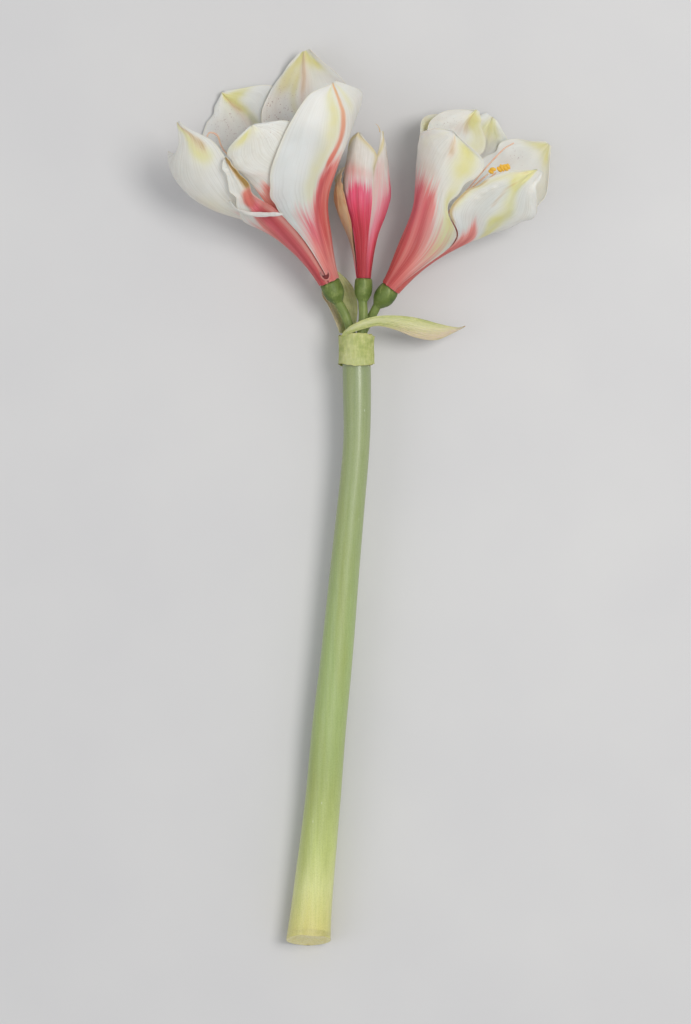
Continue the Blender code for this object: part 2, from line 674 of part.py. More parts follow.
def main():
    clear_scene()
    scape_skin = material("scape_skin", (0.42, 0.50, 0.24), 0.45)
    spathe_skin = material("spathe_skin", (0.62, 0.64, 0.30), 0.6)
    petal_skin = material("petal_skin", (0.83, 0.80, 0.70), 0.55)
    bud_skin = material("bud_skin", (0.78, 0.30, 0.28), 0.55)
    stalk_skin = material("stalk_skin", (0.14, 0.24, 0.05), 0.5)
    filament_skin = material("filament_skin", (0.80, 0.42, 0.25), 0.5)
    pollen = material("pollen", (0.90, 0.42, 0.04), 0.85)

    add_solid("scape", tube(scape_rings()), scape_skin)
    add_solid("spathe_collar", plate(collar_sheet(), SPATHE_THICKNESS), spathe_skin)
    for name, valve in SPATHE_VALVES.items():
        add_solid(name, plate(valve_sheet(valve, VALVE_STEPS), SPATHE_THICKNESS), spathe_skin)
    for name, stalk in STALKS.items():
        add_solid(name, tube(stalk_rings(stalk)), stalk_skin)
    for bloom, petals in ((LEFT_BLOOM, LEFT_PETALS), (RIGHT_BLOOM, RIGHT_PETALS)):
        for name, petal in petals.items():
            add_solid(name, plate(petal_sheet(bloom, petal, PETAL_STEPS), PETAL_THICKNESS), petal_skin)
    for name, petal in BUD_PETALS.items():
        add_solid(name, plate(petal_sheet(BUD, petal, BUD_STEPS), PETAL_THICKNESS), bud_skin)
    for name, filament in FILAMENTS.items():
        add_solid(name, tube(filament_rings(filament)), filament_skin)
    for name, anther in ANTHERS.items():
        add_solid(name, tube(anther_rings(anther)), pollen)


main()
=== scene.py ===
import bpy
import numpy as np
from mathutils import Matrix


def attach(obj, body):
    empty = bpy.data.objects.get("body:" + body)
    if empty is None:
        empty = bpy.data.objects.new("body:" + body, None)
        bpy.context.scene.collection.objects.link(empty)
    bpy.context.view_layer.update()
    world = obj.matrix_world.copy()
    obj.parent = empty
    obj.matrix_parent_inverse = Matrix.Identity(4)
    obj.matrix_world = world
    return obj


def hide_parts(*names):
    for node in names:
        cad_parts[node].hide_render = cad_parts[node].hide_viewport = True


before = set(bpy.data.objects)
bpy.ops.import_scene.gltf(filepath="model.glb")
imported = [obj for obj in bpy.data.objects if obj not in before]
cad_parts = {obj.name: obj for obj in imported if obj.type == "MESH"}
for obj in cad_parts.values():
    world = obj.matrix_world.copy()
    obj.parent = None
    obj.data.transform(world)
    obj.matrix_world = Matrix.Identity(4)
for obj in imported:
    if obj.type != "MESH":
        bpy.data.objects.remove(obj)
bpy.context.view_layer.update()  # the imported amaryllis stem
mm = 0.001
toMiddle = np.array([-1.25, -0.66, 0.0])  # from the drawing's origin to the middle of the stem's box, mm
chance = np.random.default_rng(11)


def fromHex(code):
    # an sRGB hex value turned linear, with full alpha
    parts = [int(code[i:i + 2], 16) / 255 for i in (0, 2, 4)]
    return tuple(p / 12.92 if p <= 0.04045 else ((p + 0.055) / 1.055) ** 2.4 for p in parts) + (1.0,)


def addNode(material, kind, stops=None, **given):
    # one node: a name is a setting, an input's name (spaces as _) or in0, in1...; nodes and sockets are
    # linked, and a text given to an input is a hex colour
    node = material.node_tree.nodes.new("ShaderNode" + kind)
    if stops:
        ramp = node.color_ramp.elements
        while len(ramp) < len(stops):
            ramp.new(1.0)
        for element, (place, code) in zip(ramp, stops):
            element.position = place
            element.color = fromHex(code)
    for name, value in given.items():
        if hasattr(node, name):
            setattr(node, name, value)
            continue
        socket = node.inputs[int(name[2:]) if name[:2] == "in" else name.replace("_", " ")]
        source = value.outputs[0] if isinstance(value, bpy.types.Node) else value
        if isinstance(source, bpy.types.NodeSocket):
            material.node_tree.links.new(source, socket)
        else:
            socket.default_value = fromHex(source) if isinstance(source, str) else source
    return node


def newMaterial(name):
    # a new material, and addNode for that material alone
    made = bpy.data.materials.new(name)
    made.use_nodes = True
    return made, lambda kind, **given: addNode(made, kind, **given)


def finishMaterial(made, colour, relief, **surface):
    # the surface's colour, its relief (a Bump node) and its plain numbers, set on its own sockets
    shader = made.node_tree.nodes["Principled BSDF"]
    made.node_tree.links.new(colour.outputs[0], shader.inputs["Base Color"])
    made.node_tree.links.new(relief.outputs[0], shader.inputs["Normal"])
    for name, value in surface.items():
        shader.inputs[name.replace("_", " ")].default_value = value
    return made


print("scene: camera, floor and soft light")
view = {
    "x": -9.7,  # mm, the point under the lens
    "y": -8.5,
    "height": 2200.0,
    "level": 25.0,  # height at which the picture's long side covers its reach
    "reach": 665.6,
    "sensor": 36.0,
    "farthest": 20.0,  # m
}
studio = {
    "floorSize": 24.0,  # m
    "floorDrop": 0.2,  # mm under the stem, so that no faces fight
    "sky": "f6f7f9",
    "skyStrength": 0.50,
    "aim": (0.0, 0.1, 0.0),  # m, the point that the softboxes face
    "softboxes": [
        # name, place mm, size m, watts, tint
        ("keySoftbox", (760, 330, 1800), 0.8, 17.5, "fffcf8"),
        ("leftSoftbox", (-1500, -300, 1500), 1.4, 4.5, "f9faff"),
        ("topSoftbox", (150, -100, 2300), 1.4, 4.5, "ffffff"),
    ],
}


def addObject(name, data):
    made = bpy.data.objects.new(name, data)
    bpy.context.scene.collection.objects.link(made)
    return made


def makeCamera():
    cameraData = bpy.data.cameras.new("overheadCamera")
    cameraData.lens = view["sensor"] * (view["height"] - view["level"]) / view["reach"]
    cameraData.sensor_width = view["sensor"]
    cameraData.clip_end = view["farthest"]
    camera = addObject("overheadCamera", cameraData)
    camera.location = (view["x"] * mm, view["y"] * mm, view["height"] * mm)
    bpy.context.scene.camera = camera
    bpy.context.scene.view_settings.view_transform = "Standard"


def paperBackdrop():
    # seamless background paper, rolled smooth: matt, with a fine tooth and a faint unevenness 10 cm across
    made, add = newMaterial("seamlessPaper")
    place = add("TexCoord").outputs["Object"]
    cloud = add("TexNoise", Vector=place, Scale=9.0, Detail=3.0)
    grain = add("TexNoise", Vector=place, Scale=900.0, Detail=2.0)
    tone = add("ValToRGB", Fac=cloud, stops=[(0.3, "d2d2d3"), (0.7, "d6d6d6")])
    relief = add("Bump", Height=grain, Strength=0.05, Distance=0.0002)
    return finishMaterial(made, tone, relief, Roughness=0.85)


def makeStudio():
    half = studio["floorSize"] / 2
    drop = -studio["floorDrop"] * mm
    mesh = bpy.data.meshes.new("paperFloor")
    corners = [(-half, -half, drop), (half, -half, drop), (half, half, drop), (-half, half, drop)]
    mesh.from_pydata(corners, [], [(0, 1, 2, 3)])
    mesh.materials.append(paperBackdrop())
    floor = addObject("paperFloor", mesh)
    for name, place, size, watts, tint in studio["softboxes"]:
        lightData = bpy.data.lights.new(name, "AREA")
        lightData.shape = "DISK"
        lightData.size = size
        lightData.energy = watts
        lightData.color = fromHex(tint)[:3]
        light = addObject(name, lightData)
        light.location = np.array(place) * mm
        away = np.array(studio["aim"]) - np.array(place) * mm
        tilt = np.arctan2(np.hypot(away[0], away[1]), -away[2])
        light.rotation_euler = (tilt, 0.0, np.arctan2(away[1], away[0]) - np.pi / 2)
    world = bpy.data.worlds.new("softSky")
    world.use_nodes = True
    sky = world.node_tree.nodes["Background"]
    sky.inputs["Color"].default_value = fromHex(studio["sky"])
    sky.inputs["Strength"].default_value = studio["skyStrength"]
    bpy.context.scene.world = world


makeCamera()
makeStudio()


print("scene: curves, sheets and tubes")
stations = (0, 25, 50, 75, 100, 125, 150)  # mm along a bloom's axis


def fade(values, start, length):
    # from 0 at the start to 1 a length further on
    return np.clip((values - start) / length, 0, 1)


def hill(values, reach):
    # 1 in the middle, fading over the reach
    return np.exp(-((values / reach) ** 2))


def unit(vectors):
    return vectors / np.linalg.norm(vectors, axis=-1, keepdims=True)


def smoothCurve(points, t):
    # a smooth curve through the points, at t from 0 to 1
    points = np.asarray(points, float)
    count = len(points) - 1
    ends = np.vstack([2 * points[0] - points[1], points, 2 * points[-1] - points[-2]])
    t = np.clip(np.asarray(t, float), 0, 1) * count
    i = np.minimum(t.astype(int), count - 1)
    f = (t - i).reshape(-1, *([1] * (points.ndim - 1)))
    before, start, end, after = ends[i], ends[i + 1], ends[i + 2], ends[i + 3]
    straight = 2 * start + (end - before) * f
    bend = (2 * before - 5 * start + 4 * end - after) * f**2
    return 0.5 * (straight + bend + (3 * start - before - 3 * end + after) * f**3)


def acrossSheet(shape, u, v):
    # from the low edge over the middle to the high one, bent like a parabola, all running to the tip
    curves = [smoothCurve([*shape[edge], shape["tip"]], u)[:, None] for edge in ("low", "middle", "high")]
    low, middle, high = curves
    v = v.reshape(1, -1, 1)
    return middle + (high - low) / 2 * v + (high + low - 2 * middle) / 2 * v**2


def sheetSteps(rows, columns):
    # the steps along a sheet, 0 to 1, and across it, -1 to 1, then both again for every point of it
    along, across = np.linspace(0, 1, rows), np.linspace(-1, 1, columns)
    return along, across, *np.meshgrid(along, across, indexing="ij")


def bloomFrame(bloom):
    # where the bloom's foot is, and the directions along its axis, to its right and up
    foot = np.array(bloom["foot"], float)
    along = unit(np.array(bloom["axis"], float))
    up = np.array([0.0, 0.0, 1.0])
    up = unit(up - along * (along @ up))
    return foot, along, np.cross(along, up), up


def inBloom(bloom, points):
    foot, along, right, up = bloomFrame(bloom)
    points = np.asarray(points, float)
    return foot + points[..., :1] * along + points[..., 1:2] * right + points[..., 2:3] * up


def aroundBloom(bloom, distance, turn, radius):
    # places at a distance along the bloom's axis, a turn about it in degrees and a radius from it
    turn = np.radians(turn)
    return inBloom(bloom, np.stack([distance + 0 * turn, radius * np.sin(turn), radius * np.cos(turn)], -1))


def cubicShares(f):
    first = (-f + 2 * f**2 - f**3) / 2
    second = (2 - 5 * f**2 + 3 * f**3) / 2
    third = (f + 4 * f**2 - 3 * f**3) / 2
    return np.stack([first, second, third, (f**3 - f**2) / 2])


def funnelRadius(bloom, distance, turn):
    # how wide the bloom's funnel is there: smooth along the axis and round it
    turns = sorted(bloom["funnel"])
    table = np.array([bloom["funnel"][key] for key in turns], float)
    place = np.mod(turn, 360) / (360 / len(turns))
    i = place.astype(int)
    roundShares = cubicShares(place - i)
    place = np.clip(distance / stations[1], 0, len(stations) - 1.001)
    j = place.astype(int)
    alongShares = cubicShares(place - j)
    radius = 0
    for a in range(4):
        row = (i + a - 1) % len(turns)
        for b in range(4):
            column = np.clip(j + b - 1, 0, len(stations) - 1)
            radius = radius + roundShares[a] * alongShares[b] * table[row, column]
    return radius


def sheetNormals(sheet):
    return unit(np.cross(np.gradient(sheet, axis=0), np.gradient(sheet, axis=1)))


def softNoise(u, v, cellsU, cellsV, seed):
    # smooth random height from -1 to 1 over a grid of u 0..1 by v -1..1, with so many cells each way
    values = np.random.default_rng(seed).uniform(-1, 1, (cellsU + 4, cellsV + 4))
    x = np.clip(u, 0, 1) * cellsU + 1
    y = np.clip((v + 1) / 2, 0, 1) * cellsV + 1
    i, j = x.astype(int), y.astype(int)
    sharesX, sharesY = cubicShares(x - i), cubicShares(y - j)
    total = 0
    for a in range(4):
        for b in range(4):
            row = np.clip(i + a - 1, 0, cellsU + 3)
            column = np.clip(j + b - 1, 0, cellsV + 3)
            total = total + sharesX[a] * sharesY[b] * values[row, column]
    return total


def strokeSum(u, v, strokes):
    # soft strokes laid on the sheet: a stroke's strength along its line, fading over its reach
    total = np.zeros(u.shape)
    for strength, reachU, reachV, *places in strokes:
        places = np.array(places, float) / (reachU, reachV)
        spot = np.stack([u / reachU, v / reachV], -1)
        nearest = np.full(u.shape, np.inf)
        for start, end in zip(places, np.concatenate([places[1:], places[-1:]])):
            step = end - start
            share = np.clip((spot - start) @ step / max(step @ step, 1e-9), 0, 1)
            nearest = np.minimum(nearest, ((spot - start - share[..., None] * step) ** 2).sum(-1))
        total = total + strength * np.exp(-nearest)
    return total


def brush(u, v, strokes):
    return np.clip(strokeSum(u, v, strokes), 0, 1)


def gridFaces(rows, columns, ring=False):
    index = np.arange(rows * columns).reshape(rows, columns)
    after = np.roll(index, -1, axis=1)
    if not ring:
        index, after = index[:, :-1], after[:, :-1]
    return np.stack([index[:-1], index[1:], after[1:], after[:-1]], -1).reshape(-1, 4)


def thinPlate(sheet, thickness, pressed=0.3):
    # both faces of a sheet and its rim; it stays above the floor, and is this thick where it is pressed on it
    rows, columns = sheet.shape[:2]
    half = sheetNormals(sheet) * np.broadcast_to(thickness, sheet.shape[:2])[..., None] / 2
    first, second = sheet + half, sheet - half
    firstIsLower = first[..., 2] < second[..., 2]
    bottom = np.maximum(np.minimum(first[..., 2], second[..., 2]), 0)
    top = np.maximum(np.maximum(first[..., 2], second[..., 2]), bottom + pressed * (bottom == 0))
    first[..., 2] = np.where(firstIsLower, bottom, top)
    second[..., 2] = np.where(firstIsLower, top, bottom)
    points = np.concatenate([first.reshape(-1, 3), second.reshape(-1, 3)])
    index = np.arange(rows * columns).reshape(rows, columns)
    border = np.concatenate([index[:-1, 0], index[-1, :-1], index[:0:-1, -1], index[0, :0:-1]])
    after = np.roll(border, -1)
    other = rows * columns
    face = gridFaces(rows, columns)
    rim = np.stack([border, border + other, after + other, after], -1)
    return points, np.concatenate([face, face[:, ::-1] + other, rim])


def bothFaces(*layers):
    # one value, or a pair, per point of both faces of a plate
    return np.tile(np.stack([np.ravel(layer) for layer in layers], -1), (2, 1)).squeeze()


def tubeRings(middles, radii, sides, squash=1.0, ripple=None):
    # rings square to the path; ripple(ring share, turn) adds to the radius, in shares of it
    middles = np.asarray(middles, float)
    along = unit(np.gradient(middles, axis=0))
    up = unit(np.array([0.0, 0.0, 1.0]) - along * along[:, 2:])
    right = np.cross(along, up)
    share, turn = np.meshgrid(
        np.linspace(0, 1, len(middles)), np.linspace(0, 2 * np.pi, sides, endpoint=False), indexing="ij")
    reach = np.asarray(radii, float)[:, None] * np.ones(sides)
    if ripple:
        reach = reach * (1 + ripple(share, turn))
    turn = turn[..., None]
    offset = np.sin(turn) * right[:, None] + squash * np.cos(turn) * up[:, None]
    return middles[:, None] + reach[..., None] * offset


def closedTube(rings):
    rows, sides = rings.shape[:2]
    points = np.concatenate([rings.reshape(-1, 3), [rings[0].mean(0), rings[-1].mean(0)]])
    index = np.arange(rows * sides).reshape(rows, sides)
    after = np.roll(index, -1, axis=1)
    faces = gridFaces(rows, sides, ring=True).tolist()
    faces += np.stack([np.full(sides, rows * sides), after[0], index[0]], -1).tolist()
    faces += np.stack([np.full(sides, rows * sides + 1), index[-1], after[-1]], -1).tolist()
    return points, faces


def skinName(node):
    # the piece that replaces left_bloom_stalk is leftBloomStalkSkin
    first, *rest = node.split("_")
    return first + "".join(word.capitalize() for word in rest) + "Skin"


def makePiece(node, material, points, faces, fields=None, maps=None, name=None):
    # a named mesh that stands for a CAD node; fields are values per point, maps are UV pairs per point
    name = name or skinName(node)
    points = np.asarray(points, float) + toMiddle
    faces = [list(face) for face in faces]
    tris = np.array([[face[0], face[k], face[k + 1]] for face in faces for k in range(1, len(face) - 1)])
    if np.linalg.det(points[tris]).sum() < 0:
        faces = [face[::-1] for face in faces]
    mesh = bpy.data.meshes.new(name)
    mesh.from_pydata((points * mm).tolist(), [], faces)
    mesh.validate()
    for field, values in (fields or {}).items():
        layer = mesh.attributes.new(field, "FLOAT", "POINT")
        layer.data.foreach_set("value", np.asarray(values, np.float32).ravel())
    corner = np.zeros(len(mesh.loops), np.int32)
    mesh.loops.foreach_get("vertex_index", corner)
    for field, values in (maps or {}).items():
        layer = mesh.uv_layers.new(name=field)
        layer.data.foreach_set("uv", np.asarray(values, np.float32)[corner].ravel())
    mesh.polygons.foreach_set("use_smooth", [True] * len(mesh.polygons))
    mesh.set_sharp_from_angle(angle=np.radians(60))
    mesh.materials.append(material)
    mesh.update()
    piece = addObject(name, mesh)
    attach(piece, "root")
    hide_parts(node)


print("scene: the scape")
scape = {
    "path": (  # x, y, z of the middle and the radius, mm
        (-32.6, -287.5, 13.7, 14.6), (-30.9, -268.5, 13.9, 13.5), (-28.4, -244.4, 15.0, 12.7),
        (-23.4, -197.6, 17.1, 11.7), (-19.4, -150.8, 19.0, 11.2), (-14.4, -104.0, 20.6, 10.6),
        (-10.1, -57.2, 22.2, 9.8), (-5.6, -10.4, 23.9, 9.1), (-1.4, 36.4, 25.5, 8.7),
        (-1.0, 71.5, 26.5, 9.2), (-1.6, 104.0, 27.0, 9.3),
    ),
    "rings": 240,
    "sides": 96,
    "fullness": 0.995,  # share of the radius above
    "unevenness": 0.012,  # share of the radius
    "cutSlant": 20.0,  # degrees
    "cutRounding": 0.8,
    "cutRings": 9,
    "cutRelief": 0.35,
    "cutDome": 0.5,
    "cutCore": 0.06,  # the innermost ring, as a share of the cut
    "rimRings": 5,  # rings behind the cut that stay clear of it, and how far apart they are
    "rimStep": 0.7,
    "shoulder": (0.9, 0.8),  # the top's last ring: share of the radius, mm past the end
}


def scapeSkin():
    # waxy green skin over pale wet flesh: satin, with a narrow highlight, bleached to yellow near the cut
    made, add = newMaterial("waxyScapeSkin")
    place = add("TexCoord").outputs["Object"]
    parts = add("SeparateXYZ", Vector=place)
    share = add("MapRange", Value=parts.outputs["Y"], From_Min=-0.291, From_Max=0.105)  # m, cut end to top
    drift = add("Mapping", Vector=place, Scale=(60, 9, 60))  # patches 16 mm wide, 110 mm long
    patches = add("TexNoise", Vector=drift, Scale=1.0, Detail=3.0)
    moved = add("Math", operation="MULTIPLY_ADD", in0=patches, in1=0.09, in2=share)
    moved = add("Math", operation="SUBTRACT", in0=moved, in1=0.045)
    skin = add("ValToRGB", Fac=moved, stops=[
        (0.00, "ddd283"), (0.05, "dcd98c"), (0.10, "dbdf98"), (0.16, "c9d487"), (0.30, "a9ba76"),
        (0.48, "a6ba79"), (0.66, "9eae77"), (0.82, "9daa79"), (1.00, "919e78"),
    ])
    # olive patches where the wax on the skin is thinner
    olive = add("MapRange", Value=patches, From_Min=0.52, From_Max=0.70)
    olive = add("Math", operation="MULTIPLY", in0=olive, in1=0.45)
    # fibres: 0.9 mm apart and some 40 mm long, a little darker than the skin
    strand = add("Mapping", Vector=place, Scale=(1100, 25, 1100))
    fibres = add("TexNoise", Vector=strand, Scale=1.0, Detail=2.0)
    fibreTone = add("ValToRGB", Fac=fibres, stops=[(0.3, "e4e8dc"), (0.6, "ffffff")])
    # pores: 0.25 mm dots, drawn at 0.6 mm so that they show
    pores = add("TexNoise", Vector=place, Scale=1500.0, Detail=2.0)
    poreTone = add("ValToRGB", Fac=pores, stops=[(0.36, "cfd8b4"), (0.56, "ffffff")])
    # scuffs: a few soft pale flecks 1 to 2 mm across
    fleckSpace = add("Mapping", Vector=place, Scale=(120, 50, 120))
    flecks = add("TexVoronoi", Vector=fleckSpace, Scale=1.0, Randomness=1.0)
    fleckMask = add("MapRange", Value=flecks.outputs["Distance"], From_Min=0.06, From_Max=0.02)
    fleckMask = add("Math", operation="MULTIPLY", in0=fleckMask, in1=0.5)
    # the cut face: wet cream flesh with bundles 1 mm across
    flesh = add("TexVoronoi", Vector=place, Scale=900.0)
    fleshTone = add("ValToRGB", Fac=flesh.outputs["Distance"], stops=[
        (0.1, "fbf4b8"), (0.5, "f5ea9e"), (0.9, "e9db80"),
    ])
    cut = add("Attribute", attribute_name="cut").outputs["Fac"]
    layers = [
        ("MIX", olive, "a3ab5c"), ("MULTIPLY", 0.4, fibreTone), ("MULTIPLY", 0.28, poreTone),
        ("MIX", fleckMask, "e4ead2"), ("MIX", cut, fleshTone),
    ]
    for blend, share, tone in layers:
        skin = add("MixRGB", blend_type=blend, Fac=share, Color1=skin, Color2=tone)
    relief = add("Math", operation="ADD", in0=fibres, in1=pores)
    relief = add("Bump", Height=relief, Strength=0.2, Distance=0.00025)
    return finishMaterial(
        made, skin, relief, Roughness=0.42, IOR=1.42, Coat_Weight=0.5, Coat_Roughness=0.2,
        Subsurface_Weight=0.18, Subsurface_Radius=(0.9, 1.0, 0.4), Subsurface_Scale=0.0018)


def scapeRipple(share, turn):
    # slow dents round the scape, fading out on top, where the noise has its seam
    slow = softNoise(share, turn / np.pi - 1, 14, 5, 3)
    return scape["unevenness"] * slow * np.sin(turn / 2) ** 2


def makeScape():
    path = smoothCurve(scape["path"], np.linspace(0, 1, scape["rings"]))
    rings = tubeRings(path[:, :3], path[:, 3] * scape["fullness"], scape["sides"], ripple=scapeRipple)
    foot = rings[0]
    middle = foot.mean(0)
    foot[:, 1] = middle[1] + (foot[:, 2] - middle[2]) * np.tan(np.radians(scape["cutSlant"]))
    for k in range(1, scape["rimRings"] + 1):
        rings[k][:, 1] = np.maximum(rings[k][:, 1], foot[:, 1] + scape["rimStep"] * k)
    inner = middle + (foot - middle) * (1 - scape["cutRounding"] / path[0, 3])
    cap = []
    for share in np.linspace(1, scape["cutCore"], scape["cutRings"]):
        ring = middle + (inner - middle) * share
        ring[:, 1] += scape["cutRelief"] * chance.uniform(-1, 1, scape["sides"]) * share * (share < 1)
        ring[:, 1] += scape["cutDome"] * (1 - share**2)
        cap.insert(0, ring)
    top = rings[-1].mean(0)
    topShare, topStep = scape["shoulder"]
    shoulder = top + (rings[-1] - top) * topShare + np.array([0, topStep, 0])
    rings = np.concatenate([cap, rings, shoulder[None]])
    rings[..., 2] = np.maximum(rings[..., 2], 0)
    points, faces = closedTube(rings)
    cut = np.zeros(len(points))
    cut[: scape["cutRings"] * scape["sides"]] = 1
    cut[-2] = 1
    makePiece("scape", scapeSkin(), points, faces, {"cut": cut}, name="scapeStem")


makeScape()


print("scene: the sheath round the top of the scape")
sheath = {
    "crinkle": 0.16,
    "valveSteps": (120, 33),
    "valveThickness": (0.32, 0.25),  # mm at the edges, and how much more in the middle
    "valveTipHalf": 0.35,
    "valveHalfWidth": 0.75,  # cm, for the grain map
    "pleats": (9, 0.22),  # how many run lengthwise, and their height
}
collar = {
    "middle": (-1.6, 27.0),
    "y": (87.5, 107.2),
    "steps": (40, 260),
    "thickness": 0.5,
    "innerRadius": 9.8,
    "stand": 0.45,  # from the inner radius to the middle of the sheet
    "lapRise": 1.3,
    "wrap": 388.0,
    "seamTurn": 58.0,
    "wave": 0.7,
    "flare": 0.35,
    "fray": 0.35,
    "edgeWidth": 0.05,  # share of the height that has dried, and how brown it is
    "edgeBrown": 0.45,
    "seamWidth": 0.012,
    "seamBrown": 0.4,
    "pale": [(0.35, 0.6, 0.1, (0.5, 0.42)), (0.3, 0.2, 0.3, (0.1, 0.5))],  # strokes, as in the petals below, of a paler wash that is partly a painted highlight along the top
    "grainRadius": 1.15,  # cm, for a grain map in real cm
}
spatheTints = ("blush", "brown", "pale")
valves = {
    "rightValve": {
        "node": "spathe_valve_right", "tip": (69.5, 113.4, 16), "wave": 0.5,
        "low": (
            (-10.6, 105.4, 36.2), (-5, 107.8, 39.2), (4, 110.5, 40), (13, 112.3, 39), (24, 110, 34.6),
            (37, 105.5, 27), (50, 104, 21.5), (62, 109, 17.5),
        ),
        "middle": (
            (-10.4, 107.2, 36.7), (-5.2, 110.2, 40.4), (4, 113.3, 42), (13, 115.5, 40.6), (25, 114.4, 36),
            (38, 111.3, 29.5), (52, 109.5, 23.5), (64, 111, 18),
        ),
        "high": (
            (-9.6, 109, 37.1), (-4.6, 112.6, 41.4), (4, 116.4, 43.5), (13, 118.5, 41.8), (25, 119, 37.4),
            (38, 118, 30), (53, 114.5, 23), (64, 112.5, 17.8),
        ),
        "blush": [(1, 0.14, 0.9, (0.62, -1), (0.8, -0.5), (0.92, 0)), (0.5, 0.2, 0.15, (0.4, -1))],
        "brown": [(1, 0.03, 2, (1, 0)), (0.5, 0.04, 0.2, (0.93, -1)), (0.35, 0.2, 0.05, (0.6, -1))],
        "pale": [(0.9, 0.2, 0.6, (0.25, 0.3), (0.62, 0.2)), (0.6, 0.1, 0.8, (0.85, 0.3))],
    },
    "leftValve": {
        "node": "spathe_valve_left", "tip": (-20, 155, 9), "wave": 0.4,
        "low": ((-12.2, 108.6, 24), (-15.4, 117, 20), (-19.8, 127, 17), (-24, 136, 14)),
        "middle": ((-8, 108.8, 18.8), (-9, 119, 16), (-12, 131, 13.5), (-16.5, 141, 11)),
        "high": ((-3, 108.8, 16.6), (-1, 119, 17), (-1, 130, 15.5), (-5.5, 142, 12.5)),
        "blush": [(0.9, 0.2, 0.4, (0.2, -0.9), (0.8, -0.9))],
        "brown": [(0.3, 0.15, 0.12, (0.3, -0.97), (0.7, -0.97)), (0.5, 0.1, 1, (0.97, 0))],
        # pale strokes: paler tissue, and painted light that lifts the valve where it lies in shade
        "pale": [(0.55, 0.5, 0.7, (0.2, 0.8), (0.9, 0.8)), (0.6, 0.3, 0.2, (0.2, -0.9), (0.7, -0.9))],
    },
}


def spathePaper():
    # the sheath is a leaf drying to paper: matt, thin enough to glow, with fibres and brown dried edges
    made, add = newMaterial("dryingSpatheTissue")
    uv = add("UVMap", uv_map="grain")
    blush, brown, pale = [add("Attribute", attribute_name=tint).outputs["Fac"] for tint in spatheTints]
    # fibres run lengthwise: the map is in cm, and they stand 0.7 mm apart
    strand = add("Mapping", Vector=uv, Scale=(14, 1.1, 1))
    fibres = add("TexNoise", Vector=strand, Scale=1.0, Detail=4.0, Roughness=0.62)
    blotch = add("TexNoise", Vector=uv, Scale=2.4, Detail=4.0, Roughness=0.6)
    base = add("ValToRGB", Fac=blotch, stops=[
        (0.30, "9fac64"), (0.46, "afb871"), (0.60, "bfc482"), (0.75, "cfd09a"),
    ])
    fibreTone = add("ValToRGB", Fac=fibres, stops=[(0.33, "c9d09e"), (0.5, "f6f5e8"), (0.7, "ffffff")])
    blush = add("Math", operation="MULTIPLY", in0=blush, in1=fibres, use_clamp=True)
    blush = add("Math", operation="MULTIPLY", in0=blush, in1=1.7, use_clamp=True)
    brown = add("Math", operation="MULTIPLY_ADD", in0=fibres, in1=0.7, in2=brown)
    brown = add("MapRange", Value=brown, From_Min=0.55, From_Max=1.25, interpolation_type="SMOOTHSTEP")
    # the pale wash is partly the tissue's own paler colour and partly painted light: a painted highlight
    # along the collar's top and lifted shade on the left valve
    layers = [
        ("MIX", pale, "dadbaf"), ("MULTIPLY", 0.4, fibreTone), ("MIX", blush, "d5c2ab"),
        ("MIX", brown, "b08a55"),
    ]
    for blend, share, tone in layers:
        base = add("MixRGB", blend_type=blend, Fac=share, Color1=base, Color2=tone)
    relief = add("Bump", Height=fibres, Strength=0.4, Distance=0.0003)
    return finishMaterial(
        made, base, relief, Roughness=0.6, IOR=1.42,
        Subsurface_Weight=0.25, Subsurface_Radius=(1.0, 1.0, 0.4), Subsurface_Scale=0.001)


def makeCollar(material):
    rows, columns = collar["steps"]
    u, wrapped = np.meshgrid(np.linspace(0, 1, rows), np.linspace(0, 1, columns), indexing="ij")
    v = wrapped * 2 - 1
    low, high = collar["y"]
    angle = np.radians(collar["seamTurn"] + collar["wrap"] * wrapped)
    flare = collar["flare"] * np.abs(2 * u - 1) ** 3 * (0.3 + 0.7 * wrapped)
    radius = collar["innerRadius"] + collar["stand"] + collar["lapRise"] * wrapped + flare
    radius = radius + sheath["crinkle"] * softNoise(u, v, 4, 46, 5)
    radius = radius + 0.5 * sheath["crinkle"] * softNoise(u, v, 9, 120, 6)
    y = low + (high - low) * u + collar["wave"] * np.sin(2.2 * angle) * (2 * u - 1)
    y = y + collar["fray"] * softNoise(u, v, 1, 30, 7) * (2 * u - 1)
    x = collar["middle"][0] + radius * np.sin(angle)
    z = collar["middle"][1] + radius * np.cos(angle)
    points, faces = thinPlate(np.stack([x, y, z], -1), collar["thickness"])
    edge = np.clip(1 - np.minimum(u, 1 - u) / collar["edgeWidth"], 0, 1)
    seam = np.clip(1 - np.minimum(wrapped, 1 - wrapped) / collar["seamWidth"], 0, 1)
    pale = brush(u, v, collar["pale"])
    brown = collar["edgeBrown"] * edge + collar["seamBrown"] * seam
    fields = {"blush": np.zeros(len(points)), "brown": bothFaces(brown), "pale": bothFaces(pale)}
    aroundCm = wrapped * collar["wrap"] / 57.3 * collar["grainRadius"]
    maps = {"grain": bothFaces(aroundCm, (high - low) / 10 * u)}
    makePiece("spathe_collar", material, points, faces, fields, maps, "sheathCollar")


